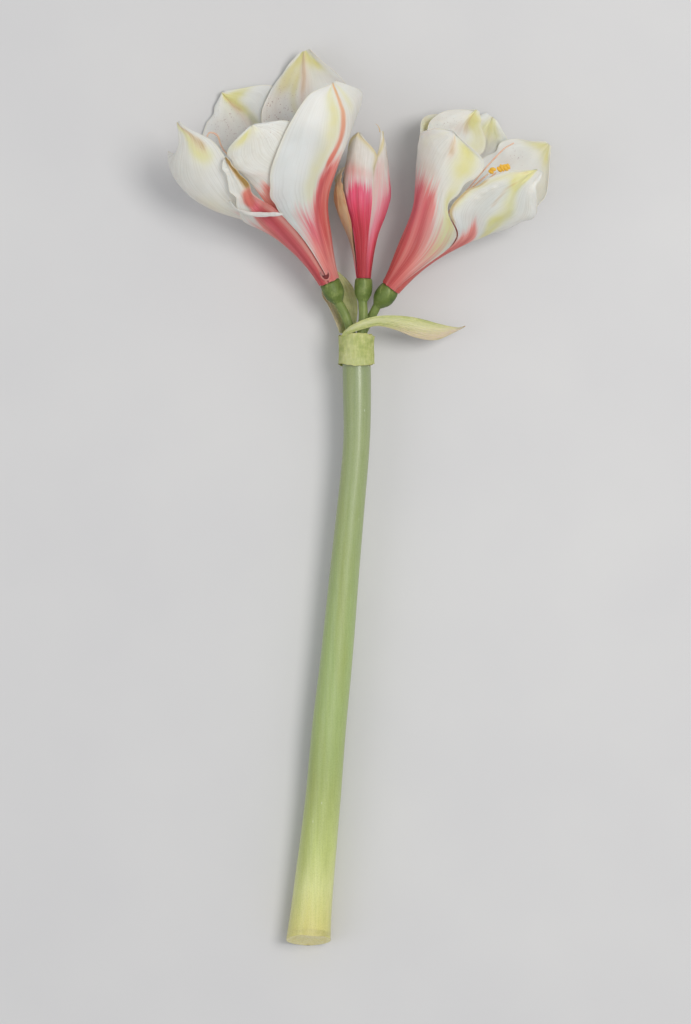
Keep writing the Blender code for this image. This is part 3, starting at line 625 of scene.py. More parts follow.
def makeValve(name, valve, material):
    along, across, u, v = sheetSteps(*sheath["valveSteps"])
    sheet = acrossSheet(valve, along, across)
    side = unit(sheet[-4, -1] - sheet[-4, 0]) * sheath["valveTipHalf"]
    sheet[-1, :] = np.array(valve["tip"], float) + across[:, None] * side
    sheet[..., 2] += valve["wave"] * np.sin(np.pi * u) * v**2 * np.sin(12 * u + 2 * v)
    pleats, pleatHeight = sheath["pleats"]
    lift = 0.9 * sheath["crinkle"] * softNoise(u, v, 22, 4, 8)  # a valve is a little smoother than the collar
    lift += pleatHeight * np.cos(pleats * np.pi * v) * np.sin(np.pi * u)
    sheet += sheetNormals(sheet) * lift[..., None]
    edge, more = sheath["valveThickness"]
    points, faces = thinPlate(sheet, edge + more * (1 - v**2))
    fields = {tint: bothFaces(brush(u, v, valve[tint])) for tint in spatheTints}
    length = np.linalg.norm(np.diff(sheet[:, len(across) // 2], axis=0), axis=1).sum() / 10
    grain = bothFaces((v + 1) * sheath["valveHalfWidth"], u * length)
    makePiece(valve["node"], material, points, faces, fields, {"grain": grain}, name)


spathe = spathePaper()
makeCollar(spathe)
for name, valve in valves.items():
    makeValve(name, valve, spathe)


print("scene: flower stalks and ovaries")
leftBloom = {
    "foot": (-19.2, 142.0, 30.0),
    "axis": (-0.403, 0.899, 0.169),
    "funnel": {  # turn about the axis: radius at each station, mm
        0: (5.4, 11.5, 21, 31, 37, 40, 41),
        45: (5.4, 11.5, 20, 33, 43, 48, 50),
        90: (5.4, 11.5, 20.5, 43, 66, 71, 69),
        135: (5.4, 11.8, 22, 41, 56, 61, 60),
        180: (5.4, 12, 23, 36, 45.6, 48, 48.5),
        225: (5.4, 12.3, 27.5, 48, 57, 56, 51),
        270: (5.4, 12.0, 26.5, 53, 65, 61, 50),
        315: (5.4, 12, 22, 35, 43, 45, 44),
    },
}
rightBloom = {
    "foot": (21.1, 138.1, 30.0),
    "axis": (0.591, 0.791, 0.157),
    "funnel": {
        0: (5.0, 11, 20, 27, 32, 35, 36),
        45: (5.0, 10.5, 20, 27, 32.5, 35.5, 37),
        90: (5.0, 9.6, 20, 35, 47, 49.5, 48),
        135: (5.0, 10.6, 22.5, 39, 50, 52, 51),
        180: (5.0, 11, 22, 35, 45, 47, 47),
        225: (5.0, 11.3, 20.5, 35, 47, 49.5, 48),
        270: (5.0, 11.2, 18, 32.5, 46.5, 49, 47),
        315: (5.0, 11.3, 18.5, 30, 42, 44, 43),
    },
}
bud = {
    "foot": (3.3, 144.0, 31.0),
    "axis": (0.038, 0.999, 0.035),
    "funnel": {
        0: (3.0, 6.2, 14.0, 13.0, 6.0, 4, 4),
        60: (3.0, 6.2, 13.5, 11.3, 6.4, 4, 3),
        120: (3.0, 6.2, 13.5, 11.3, 6.4, 4, 3),
        180: (3.0, 6.2, 13.6, 12.5, 6.0, 4, 4),
        240: (3.0, 6.6, 14.6, 13.0, 8.0, 5, 4),
        300: (3.0, 6.6, 14.6, 13.2, 8.0, 5, 4),
    },
}
stalks = {  # node: its foot, a point on its bend, its bloom, and the radii of stalk, ovary and ovary's top
    "left_bloom_stalk": ((-5.0, 105.4, 27.0), (-8.6, 120.0, 28.0), leftBloom, (3.0, 6.9, 6.7)),
    "bud_stalk": ((1.8, 105.4, 30.6), (3.1, 119.0, 31.2), bud, (2.9, 5.9, 5.6)),
    "right_bloom_stalk": ((3.2, 105.7, 24.2), (8.4, 119.0, 25.8), rightBloom, (2.8, 6.9, 6.3)),
}
ovary = {
    "length": 15.0,
    "gap": 0.56,
    "straight": 4.0,  # mm that a stalk rises before it bends
    "stations": (0.0, 0.12, 0.28, 0.45, 0.62, 0.8, 0.94, 1.0),
    "swell": (0.0, 0.35, 0.75, 0.95, 1.0, 0.97),
    "topShare": 0.9,  # the last ring's share of the top's radius
    "slimming": 0.01,
    "lobes": (3, 0.035),  # how many stand round it, and their height as a share of the radius
    "ribs": (12, 0.012),  # the stalk's fine ribs
    "steps": (60, 70),  # rings on the stalk and on the ovary
    "joinRings": 20,  # rings over which the ribs turn into lobes
    "sides": 72,
}


def ovarySkin():
    # living green skin with a bloom of wax: smooth, softly glossy, clouded lighter and darker every few mm
    made, add = newMaterial("ovarySkin")
    place = add("TexCoord").outputs["Object"]
    cloud = add("TexNoise", Vector=place, Scale=160.0, Detail=4.0, Roughness=0.6)
    tone = add("ValToRGB", Fac=cloud, stops=[
        (0.28, "4a6128"), (0.46, "5d7132"), (0.6, "6c7e3d"), (0.75, "828f50"),
    ])
    length = add("Attribute", attribute_name="length").outputs["Fac"]
    stalkTone = add("MixRGB", Fac=0.45, Color1=tone, Color2="8b9a58")
    isStalk = add("MapRange", Value=length, From_Min=0.62, From_Max=0.42)
    # faint pale veins, some 2 mm apart, run up the ovary
    veinSpace = add("Mapping", Vector=place, Scale=(520, 60, 520))
    veins = add("TexNoise", Vector=veinSpace, Scale=1.0, Detail=2.0, Distortion=0.6)
    veinMask = add("MapRange", Value=veins, From_Min=0.56, From_Max=0.74, To_Max=0.4)
    for share, over in ((isStalk, stalkTone), (veinMask, "a5b36c")):
        tone = add("MixRGB", Fac=share, Color1=tone, Color2=over)
    grain = add("TexNoise", Vector=place, Scale=1500.0, Detail=2.0)
    relief = add("Bump", Height=grain, Strength=0.15, Distance=0.0002)
    return finishMaterial(
        made, tone, relief, Roughness=0.5, IOR=1.42,
        Subsurface_Weight=0.12, Subsurface_Radius=(0.6, 1.0, 0.3), Subsurface_Scale=0.0012)


def lobedRipple(body, turn):
    # twelve fine ribs on the stalk, which turn into the ovary's three lobes
    lobes, lobeHeight = ovary["lobes"]
    ribs, ribHeight = ovary["ribs"]
    ribbed = ribHeight * np.cos(ribs * turn) * (1 - body)
    return lobeHeight * np.cos(lobes * turn + 0.5) * body + ribbed - ovary["slimming"]


def makeStalks():
    skin = ovarySkin()
    stalkSteps, ovarySteps = ovary["steps"]
    for node, (bottom, bend, bloom, radii) in stalks.items():
        foot, along, _, _ = bloomFrame(bloom)
        top = foot - along * ovary["gap"]
        start = top - along * ovary["length"]
        stalkRadius, ovaryRadius, topRadius = radii
        straightEnd = np.array(bottom) + (0, ovary["straight"], 0)
        curve = smoothCurve([bottom, straightEnd, bend, start], np.linspace(0, 1, stalkSteps))[:-1]
        share = np.linspace(0, 1, ovarySteps)
        swell = [stalkRadius + (ovaryRadius - stalkRadius) * step for step in ovary["swell"]]
        swell += [topRadius, topRadius * ovary["topShare"]]
        places = np.interp(share, ovary["stations"], np.linspace(0, 1, len(swell)))
        swell = smoothCurve(np.array(swell)[:, None], places)[:, 0]
        path = np.concatenate([curve, start + along * ovary["length"] * share[:, None]])
        reach = np.concatenate([np.full(len(curve), stalkRadius), swell])
        body = fade(np.arange(len(path)), len(curve), ovary["joinRings"])[:, None]
        rings = tubeRings(path, reach, ovary["sides"], ripple=lambda _, turn: lobedRipple(body, turn))
        points, faces = closedTube(rings)
        length = np.append(np.repeat(np.linspace(0, 1, len(path)), ovary["sides"]), [0, 1])
        makePiece(node, skin, points, faces, {"length": length})


makeStalks()


print("scene: petals of the two blooms")
petalShape = {
    "layerOffset": {"outer": 1.25, "inner": -1.25},
    "steps": (121, 65),
    "budSteps": (97, 49),
    # where each begins and over how much it grows: shares along the petal, mm for the roll, and shares
    # across it for the tuck
    "open": (0.25, 0.35), "cockle": (0.15, 0.3), "curl": (0.3, 0.2), "roll": (48, 22), "tuck": (0.6, 0.3),
    "rollEdge": 0.4,
    "keelWidth": 0.3,
    "keelShare": 0.7,
    "sideShift": 0.21,
    "cockles": (  # height mm, hollows along and across
        (0.46, 6, 4), (0.24, 13, 9), (0.09, 34, 20), (0.07, 7, 34),
    ),
    "marginCurl": 1.1,
    "marginWander": 1.5,
    "fray": 0.55,  # mm, how far the foot's edge laps the ovary
    "frayReach": 0.02,
    "thickness": {"edge": 0.3, "middle": 0.3, "foot": 0.3, "midrib": 0.2},  # mm, each on top of the last
    "thickFoot": 0.15,  # how far from the foot and from the midrib it is thicker
    "thickMidrib": 0.1,
}
# three tints paint light and shade: the bright wash is painted light, the grey darkening is painted shade,
# and the pale streaks are partly a painted highlight
tintNames = (
    "redness", "stripe", "yellow", "brown", "blush", "shade", "fleck", "pink", "pale", "deep", "glow",
)
plainPetal = {  # what a petal has where its own table doesn't say
    "tipHalfWidth": 1.3, "keel": 0.0, "roll": (0.0, 0.0), "lift": (0.0, 0.0), "wave": (0.0, 2.0, 0.0),
    "tuck": 0.0, "folds": [], "red": ((-1, 0.2), (0, 0.3), (1, 0.2)), "rays": ((0, 1), (1, 1)),
    **{tint: [] for tint in tintNames[1:]},
}
# A petal's edges and middle are (mm along the bloom's axis, degrees about it). "red" is how far from the
# foot the red reaches at each place across, and "rays" how strong it is there. "wave" is the margin's height,
# how many waves and where they start. "keel", "roll", "lift" and "tuck" are mm; the pairs are for the low and
# the high side. The rest are strokes of folds or of a tint: (strength, reach along, reach across, and its
# places (along, across)); along runs 0 to 1 from the foot, across -1 to 1.
# Some tints in both tables paint light and shade: the bright wash on hollows is painted light where the petal
# lies in shade, the grey darkening is painted shade, and a pale stroke along a keel is a painted highlight.
leftPetals = {
    "left_bloom_petal_right": {
        "layer": "outer", "tip": (117, 64), "tipHalfWidth": 1.8, "keel": 2, "wave": (1.2, 2.4, 0.3),
        "low": ((0, -3), (33, -17), (54, -27), (70, -22), (92, 3), (115, 41)),
        "middle": ((0, 60), (26, 56), (48, 58), (66, 66), (79, 74), (99, 67)),
        "high": ((0, 112), (26, 112), (50, 116), (72, 112), (86, 102), (97, 93)),
        "red": (
            (-1, 0.18), (-0.8, 0.28), (-0.6, 0.33), (-0.4, 0.38), (-0.25, 0.52), (-0.1, 0.6), (0.1, 0.58),
            (0.5, 0.45), (1, 0.3),
        ),
        "rays": ((-1, 0.5), (-0.5, 0.6), (-0.3, 1), (1, 1)),
        "stripe": [
            (0.5, 0.05, 0.05, (0.46, -0.22), (0.56, -0.19)),
            (0.85, 0.05, 0.055, (0.6, -0.18), (0.82, -0.03), (0.93, -0.08), (1, -0.2)),
        ],
        "yellow": [
            (0.75, 0.1, 0.19, (0.42, -0.46), (0.66, -0.36), (0.82, -0.24), (0.95, -0.45)),
            (0.6, 0.1, 0.2, (0.88, 0.25), (0.97, 0.3)),
        ],
        "blush": [(0.5, 0.035, 0.1, (0.3, -0.75))],
        "brown": [(0.5, 0.02, 0.5, (1, -0.2))],
        # painted light on the side that turns away from the lamps
        "glow": [(0.6, 0.15, 0.35, (0.85, -0.6), (0.6, -0.75))],
        "pink": [(0.9, 0.07, 0.25, (0.3, -0.6), (0.2, -0.6)), (0.5, 0.05, 0.1, (0.5, -0.25), (0.4, -0.3))],
        "deep": [
            (0.7, 0.04, 0.07, (0.5, -0.12), (0.36, -0.28), (0.24, -0.4), (0.1, -0.5)),
            (0.35, 0.07, 3, (0, 0)),
        ],
        # the first pale stroke is a painted highlight along the keel; the second is the paler foot
        "pale": [(0.5, 0.16, 0.07, (0.34, 0.02), (0.06, 0)), (0.7, 0.1, 0.3, (0.02, -0.3), (0, 0.8))],
        "folds": [(0.5, 0.06, 0.16, (0.62, -0.75), (0.5, -0.5)), (0.4, 0.04, 0.3, (0.85, -0.6))],
    },
    "left_bloom_petal_channel": {
        "layer": "outer", "tip": (102, 318), "roll": (3.5, 1.5), "wave": (0.8, 2, 0.1),
        "low": ((0, 250), (26, 252), (48, 266), (68, 301), (82, 310), (93, 314)),
        "middle": ((0, 300), (26, 298), (48, 300), (64, 306), (80, 314), (93, 317)),
        "high": ((0, 352), (26, 344), (57, 331.5), (68, 324), (81, 324), (93, 322)),
        "red": ((-1, 0.39), (-0.5, 0.41), (-0.3, 0.5), (0, 0.57), (0.5, 0.6), (1, 0.58)),
        "brown": [(1.2, 0.09, 0.55, (0.7, 0.75), (0.82, 0.6), (0.99, 0.3))],
        "stripe": [(1, 0.05, 0.8, (0.6, 0.4), (0.56, 0.2))],
        "deep": [
            (0.9, 0.06, 0.22, (0.38, 0.45), (0.22, 0.35), (0.05, 0.3)), (0.5, 0.03, 0.5, (0.46, 0.6)),
            (0.35, 0.07, 3, (0, 0)),
        ],
        "pink": [(0.9, 0.2, 0.35, (0.5, 0.3), (0.15, 0.3)), (0.6, 0.03, 0.5, (0.52, 0.5))],
        "pale": [(0.7, 0.2, 0.12, (0.36, 0.85), (0.05, 0.85)), (0.4, 0.2, 0.12, (0.3, -0.8), (0.05, -0.9))],
        # painted shadow under the folded white rim
        "shade": [(0.5, 0.04, 0.8, (0.41, 0.3))],
    },
    "left_bloom_petal_back": {
        "layer": "outer", "tip": (137, 195), "keel": 1.6, "roll": (0, 1), "wave": (1.8, 2.6, 0.6),
        "low": ((0, 126), (26, 126), (52, 130), (78, 136), (109, 159), (128, 162)),
        "middle": ((0, 182), (26, 180), (52, 180), (80, 182), (109, 184), (125, 188)),
        "high": ((0, 236), (26, 232), (52, 226), (78, 224), (115, 218), (127, 206)),
        "yellow": [
            (0.75, 0.05, 0.3, (0.93, -0.9), (0.92, -0.3), (0.95, 0.1)),
            (0.62, 0.1, 0.16, (0.99, 0.05), (0.83, 0.02), (0.7, -0.1)), (0.45, 0.25, 0.8, (0.85, 0.2)),
        ],
        "brown": [(0.55, 0.04, 0.08, (0.97, 0.12), (0.86, 0.12), (0.8, 0.05))],
        "blush": [(0.35, 0.16, 0.5, (0.7, 0.55)), (0.6, 0.07, 0.1, (0.85, 0.15), (0.68, 0.05))],
        "fleck": [(0.7, 0.2, 0.5, (0.75, 0.45))],
        # painted light that lifts the hollow where the petal lies in shade
        "glow": [(0.8, 0.3, 3, (0.7, 0))],
        "folds": [(1, 0.06, 0.12, (0.98, 0.1), (0.84, 0.05), (0.7, -0.1)), (0.6, 0.04, 0.2, (0.9, -0.6))],
    },
    "left_bloom_petal_front": {
        "layer": "inner", "tip": (114, -8), "tipHalfWidth": 2.6, "keel": 0.4, "wave": (1.6, 2.8, 0.2),
        "low": ((0, -40), (26, -42), (50, -42), (83, -39), (96, -42), (106, -38)),
        "middle": ((0, 14), (26, 14), (50, 12), (72, 8), (92, -13), (104, -11)),
        "high": ((0, 66), (26, 66), (50, 66), (72, 60), (96, 50), (107, 26)),
        "red": (
            (-1, 0.46), (-0.85, 0.46), (-0.66, 0.51), (-0.5, 0.47), (-0.2, 0.48), (0, 0.42), (0.3, 0.36),
            (1, 0.3),
        ),
        "rays": ((-1, 2.6), (-0.3, 2), (0.2, 0.8)),
        "yellow": [
            (0.62, 0.09, 0.3, (0.92, -0.5), (0.96, 0.1)), (0.55, 0.08, 0.3, (0.82, -1), (0.9, -0.6)),
        ],
        "fleck": [(0.5, 0.1, 0.4, (0.84, 0.6))],
        "blush": [(0.4, 0.04, 0.3, (0.55, -0.55))],
        "pink": [(0.6, 0.04, 0.2, (0.44, -0.2))],
        "folds": [(0.7, 0.05, 0.25, (0.8, 0.1), (0.72, -0.3)), (0.5, 0.05, 0.2, (0.9, 0.5))],
    },
    "left_bloom_petal_left": {
        "layer": "inner", "tip": (134, 291), "keel": 0.8, "wave": (2.2, 2.5, 0.4),
        "low": ((0, 204), (26, 212), (60, 267), (86, 262), (117, 264), (116, 284)),
        "middle": ((0, 256), (26, 260), (50, 266), (76, 272), (98, 276), (122, 292)),
        "high": ((0, 308), (26, 308), (50, 306), (76, 310), (104, 314), (120, 307)),
        "red": ((-1, 0.28), (0, 0.34), (0.6, 0.42), (1, 0.44)),
        "yellow": [
            (0.8, 0.06, 0.2, (0.99, -0.3), (0.9, 0.2), (0.8, 0.5), (0.72, 0.75)),
            (0.5, 0.1, 0.5, (0.5, 0.2)), (0.7, 0.03, 0.2, (0.88, -0.8)),
        ],
        "brown": [(0.6, 0.05, 0.13, (0.99, 0.1), (0.88, 0.5), (0.78, 0.75))],
        "fleck": [(0.8, 0.03, 0.1, (0.78, 0.75)), (0.3, 0.1, 0.4, (0.6, -0.3))],
        "blush": [(0.35, 0.15, 0.4, (0.45, 0.1))],
        "folds": [
            (0.6, 0.05, 0.2, (0.72, 0.1), (0.6, 0.3)), (0.5, 0.03, 0.08, (0.62, -0.35), (0.58, -0.2)),
        ],
    },
    "left_bloom_petal_top": {
        "layer": "inner", "tip": (140, 129), "tipHalfWidth": 6, "keel": 0.6, "wave": (2, 2.4, 0.8),
        "low": ((0, 78), (26, 80), (52, 84), (76, 92), (92, 86), (112, 111)),
        "middle": ((0, 134), (26, 134), (52, 134), (80, 134), (108, 143), (126, 136)),
        "high": ((0, 190), (26, 190), (52, 188), (78, 184), (110, 175), (128, 155)),
        "yellow": [
            (0.7, 0.07, 0.3, (0.97, 0.35), (0.88, 0.6), (0.8, 0.5)),
            (0.7, 0.05, 0.25, (0.97, -0.1), (0.9, -0.55)), (0.5, 0.1, 0.08, (0.76, 0.15), (0.6, 0.17)),
            (0.45, 0.2, 0.8, (0.88, 0.1)),
        ],
        "brown": [(0.42, 0.06, 0.09, (0.99, 0.08), (0.88, 0.03), (0.76, -0.02))],
        "blush": [
            (0.7, 0.09, 0.12, (0.92, 0.03), (0.74, -0.05), (0.62, 0)), (0.5, 0.15, 0.4, (0.74, 0.55)),
        ],
        "fleck": [(1, 0.14, 0.5, (0.68, 0.6))],
        # painted light that lifts the hollow where the petal lies in shade
        "glow": [(1, 0.25, 3, (0.62, 0))],
        "folds": [(0.7, 0.1, 0.09, (0.95, 0), (0.75, -0.05)), (0.5, 0.03, 0.3, (0.88, 0.6))],
    },
}
rightPetals = {
    "right_bloom_petal_front": {
        "layer": "outer", "tip": (106, -36), "keel": 1.6, "roll": (0, 1), "wave": (1, 2.3, 0.2),
        "low": ((0, -92), (26, -96), (50, -100), (72, -98), (86, -88), (94, -69)),
        "middle": ((0, -30), (26, -25), (55, -40), (74, -39), (89, -36), (99, -34)),
        "high": ((0, 34), (30, 60), (52, 43), (64, 1), (86, 1), (102, 1)),
        "red": (
            (-1, 0.44), (-0.5, 0.46), (0, 0.475), (0.3, 0.46), (0.45, 0.38), (0.6, 0.27), (0.8, 0.22),
            (1, 0.12),
        ),
        "rays": ((-1, 0.9), (0.3, 0.9), (0.5, 0.5), (1, 0.45)),
        "brown": [
            (0.5, 0.06, 0.06, (0.93, 0.12), (0.82, 0.08), (0.76, 0.14)),
            (0.35, 0.08, 0.25, (0.34, 0.9), (0.12, 0.7)),
        ],
        "yellow": [
            (0.95, 0.13, 0.42, (0.84, 0.5), (0.7, 0.58)),
            (0.9, 0.12, 0.25, (0.48, 0.85), (0.34, 0.75), (0.22, 0.7)), (0.5, 0.06, 0.15, (0.95, -0.9)),
            (0.4, 0.12, 0.3, (0.9, -0.5), (0.7, -0.6)),
        ],
        "blush": [(0.5, 0.05, 0.5, (0.52, -0.1)), (0.5, 0.08, 0.1, (0.84, 0.1), (0.74, 0.14))],
        # painted light that lifts the side where the petal lies in shade
        "glow": [(0.6, 0.1, 0.4, (0.72, -0.7), (0.9, -0.6))],
        "pink": [(1, 0.12, 0.7, (0.42, -0.6), (0.34, -0.2))],
        # the first pale stroke is a painted highlight along the keel
        "pale": [(0.5, 0.25, 0.08, (0.3, -0.05), (0.05, 0)), (0.5, 0.1, 0.2, (0.34, 0.35), (0.25, 0.45))],
        "deep": [
            (0.5, 0.14, 0.12, (0.3, -0.35), (0.1, -0.4)), (0.55, 0.1, 3, (0, 0)),
            (0.4, 0.12, 0.1, (0.28, 0.15), (0.15, 0.2)),
        ],
        "folds": [(-0.5, 0.1, 0.3, (0.8, 0.4)), (0.6, 0.1, 0.06, (0.93, 0.08), (0.7, 0.1))],
    },
    "right_bloom_petal_right": {
        "layer": "outer", "tip": (118, 55), "tipHalfWidth": 3.2, "keel": 1.4, "wave": (1.4, 2.4, 0.5),
        "low": ((0, 36), (31, 61), (53, 44.5), (64, 4), (84, 9), (102, 27)),
        "middle": ((0, 94), (26, 92), (52, 82), (72, 53), (87, 52), (102, 51)),
        "high": ((0, 144), (26, 140), (50, 134), (63, 99), (78, 122), (103, 70)),
        "red": (
            (-1, 0.33), (-0.8, 0.36), (-0.5, 0.42), (-0.3, 0.48), (-0.12, 0.43), (0.1, 0.36), (0.4, 0.3),
            (1, 0.28),
        ),
        "rays": ((-1, 1.8), (0, 1.8), (0.3, 0.9)),
        "brown": [
            (0.9, 0.03, 0.08, (0.44, -1), (0.6, -0.97), (0.74, -0.98)),
            (0.75, 0.05, 0.07, (0.4, 1), (0.58, 1)),
            (0.4, 0.03, 0.05, (0.62, -0.12), (0.73, -0.2), (0.84, -0.3)), (0.4, 0.03, 0.12, (0.94, -0.6)),
        ],
        "yellow": [
            (1.5, 0.08, 0.36, (0.97, -0.5), (0.9, -0.3)),
            (0.75, 0.09, 0.22, (0.88, -0.15), (0.62, 0.2), (0.44, 0.3)),
            (0.7, 0.07, 0.25, (0.52, 0.35), (0.43, 0.8)),
            (0.7, 0.06, 0.18, (0.55, -0.9), (0.7, -0.85), (0.86, -0.8)),
        ],
        "blush": [(0.5, 0.06, 0.3, (0.46, -0.3))],
        "stripe": [(0.5, 0.03, 0.5, (0.36, 0.6))],
        "folds": [
            (1.3, 0.05, 0.12, (0.48, 0.25), (0.65, 0.1), (0.8, -0.12), (0.92, -0.45)),
            (0.9, 0.025, 0.08, (0.66, -0.55)), (0.9, 0.025, 0.08, (0.73, -0.5)),
            (0.8, 0.025, 0.08, (0.6, -0.6)), (1.2, 0.02, 0.2, (0.62, 0.95)), (-1, 0.02, 0.2, (0.68, 0.95)),
            (1.2, 0.02, 0.2, (0.74, 0.9)), (-1, 0.02, 0.2, (0.8, 0.9)), (1.1, 0.02, 0.2, (0.86, 0.85)),
            (-0.8, 0.02, 0.2, (0.92, 0.8)),
        ],
    },
    "right_bloom_petal_back": {
        "layer": "outer", "tip": (125, 197), "tipHalfWidth": 3.2, "keel": 1, "wave": (1.8, 2.7, 0.3),
        "low": ((0, 156), (26, 152), (50, 148), (76, 150), (109, 167), (119, 179)),
        "middle": ((0, 206), (26, 202), (50, 200), (76, 200), (94, 192), (112, 194)),
        "high": ((0, 256), (26, 252), (50, 248), (74, 249), (94, 264), (111, 222)),
        "yellow": [(0.85, 0.2, 0.75, (0.9, -0.2)), (0.9, 0.06, 0.25, (0.7, 0.85), (0.8, 0.7))],
        # painted light that lifts the hollow where the petal lies in shade
        "glow": [(0.8, 0.3, 3, (0.7, 0))],
        "blush": [(0.4, 0.12, 0.4, (0.74, -0.2))],
        "brown": [(0.3, 0.03, 0.1, (0.72, 0.95))],
        "folds": [(0.7, 0.08, 0.1, (0.97, -0.05), (0.8, -0.1))],
    },
    "right_bloom_petal_inner": {
        "layer": "inner", "tip": (107, 56), "keel": 0.5, "wave": (1.4, 2.2, 0.7),
        "low": ((0, -34), (26, -30), (50, -20), (66, 16), (80, 24), (96, 34)),
        "middle": ((0, 22), (26, 22), (50, 26), (70, 42), (84, 50), (98, 54)),
        "high": ((0, 78), (26, 78), (50, 78), (70, 78), (84, 78), (98, 74)),
        "red": ((-1, 0.4), (0, 0.5), (1, 0.4)),
        "yellow": [(0.5, 0.2, 0.6, (0.9, 0))],
    },
    "right_bloom_petal_far": {
        "layer": "inner", "tip": (133, 148), "tipHalfWidth": 2.4, "keel": 0.9, "wave": (2.2, 2.5, 0.1),
        "low": ((0, 90), (26, 90), (50, 92), (71, 97), (90, 101), (108, 118)),
        "middle": ((0, 144), (26, 144), (50, 142), (74, 140), (99, 155), (117, 153)),
        "high": ((0, 196), (26, 196), (50, 194), (76, 188), (104, 181), (119, 176)),
        "red": ((-1, 0.2), (0, 0.28), (1, 0.2)),
        "yellow": [(0.85, 0.09, 0.45, (0.96, -0.5), (0.98, 0), (0.95, 0.6)), (0.5, 0.12, 0.4, (0.8, -0.8))],
        # painted light that lifts the hollow where the petal lies in shade
        "glow": [(0.9, 0.3, 3, (0.7, 0))],
        "blush": [(0.4, 0.1, 0.3, (0.7, 0.3))],
        "fleck": [(0.5, 0.05, 0.3, (0.8, 0.2))],
        "folds": [(0.6, 0.04, 0.3, (0.86, 0.1), (0.8, -0.5)), (0.5, 0.04, 0.2, (0.75, 0.5))],
    },
    "right_bloom_petal_left": {
        "layer": "inner", "tip": (123, 212), "keel": 0.8, "wave": (1.6, 2.3, 0.9),
        "low": ((0, 210), (26, 208), (50, 206), (76, 205), (104, 189), (117, 203)),
        "middle": ((0, 262), (26, 262), (50, 258), (74, 250), (96, 222), (110, 218)),
        "high": ((0, 314), (26, 316), (50, 312), (74, 300), (88, 272), (107, 245)),
        "yellow": [
            (0.9, 0.08, 0.3, (0.97, -0.1), (0.88, -0.4)), (0.75, 0.14, 0.42, (0.9, -0.8), (0.68, -0.75)),
        ],
        # painted light that lifts the hollow where the petal lies in shade
        "glow": [(0.9, 0.3, 3, (0.75, 0))],
        "brown": [(0.45, 0.07, 0.15, (0.8, -0.32), (0.92, -0.2))],
        "blush": [(0.6, 0.08, 0.3, (0.78, -0.1))],
        "fleck": [(0.5, 0.1, 0.4, (0.8, 0.4))],
        "folds": [(0.8, 0.08, 0.08, (0.97, -0.1), (0.82, -0.3)), (0.5, 0.05, 0.3, (0.8, 0.4))],
    },
}


def petalSheet(bloom, petal, steps, seed):
    shape = petalShape
    along, across, u, v = sheetSteps(*steps)
    place = acrossSheet(petal, along, across)
    distance, turn = place[..., 0], place[..., 1]
    radius = funnelRadius(bloom, distance, turn)
    frayed = 0.5 + 0.5 * softNoise(u, v, 1, 11, seed + 30)
    distance = distance - shape["fray"] * frayed * hill(u, shape["frayReach"])
    turn = turn + np.degrees(petal["tipHalfWidth"] / radius) * u**6 * v
    # the margin waves, the midrib stands out as a keel and the sides roll
    height, waves, start = petal["wave"]
    isOpen = fade(u, *shape["open"])
    rise = np.sin(np.pi * u) ** 0.5 * isOpen
    phase = waves * u + start + shape["sideShift"] * (v > 0)
    ruffle = height * np.abs(v) ** 3 * rise * (0.5 - 0.5 * np.cos(2 * np.pi * phase))
    keel = shape["keelShare"] * petal["keel"] * hill(v, shape["keelWidth"]) * rise
    opened = fade(distance, *shape["roll"]) * rise
    rollLow, rollHigh = petal["roll"]
    side = fade(np.abs(v), shape["rollEdge"], 1 - shape["rollEdge"]) ** 2
    roll = np.where(v < 0, rollLow, rollHigh) * side * opened
    liftLow, liftHigh = petal["lift"]
    lift = (liftLow + (liftHigh - liftLow) * (v + 1) / 2) * np.sin(np.pi * u) ** 0.7
    # cockles, which fade out down the tube, and a margin that curls and wanders as it does on a real petal
    layers = enumerate(shape["cockles"])
    cockles = sum(tall * softNoise(u, v, long, wide, seed + 50 * k) for k, (tall, long, wide) in layers)
    isBloom = float(height > 0)
    curl = 0.5 + 0.5 * softNoise(u, v, 17, 2, seed + 90)
    curl = shape["marginCurl"] * isBloom * np.abs(v) ** 5 * curl * fade(u, *shape["curl"])
    wander = shape["marginWander"] * isBloom * softNoise(u, v, 17, 1, seed + 70) * np.abs(v) ** 2 * isOpen
    turn = turn + np.degrees(wander * np.sign(v) / radius)
    fold = strokeSum(u, v, petal["folds"]) - petal["tuck"] * fade(-v, *shape["tuck"])
    outward = 1 if petal["layer"] == "outer" else -1
    outside = ruffle + keel + roll + lift + curl + fold
    offset = shape["layerOffset"][petal["layer"]]
    radius = radius + offset + outward * outside + fade(u, *shape["cockle"]) * cockles
    return aroundBloom(bloom, distance, turn, radius), u, v


def joinShapes(shapes):
    # several closed shapes as one: each is its points, its faces and its value of every field per point
    points, faces, fields = [], [], {}
    for shapePoints, shapeFaces, values in shapes:
        start = sum(len(part) for part in points)
        shapeFaces = np.asarray(shapeFaces, dtype=object).tolist()
        faces += [[corner + start for corner in face] for face in shapeFaces]
        points.append(shapePoints)
        for name in tintNames:
            fields.setdefault(name, []).append(np.broadcast_to(values.get(name, 0.0), len(shapePoints)))
    return np.concatenate(points), faces, {name: np.concatenate(values) for name, values in fields.items()}


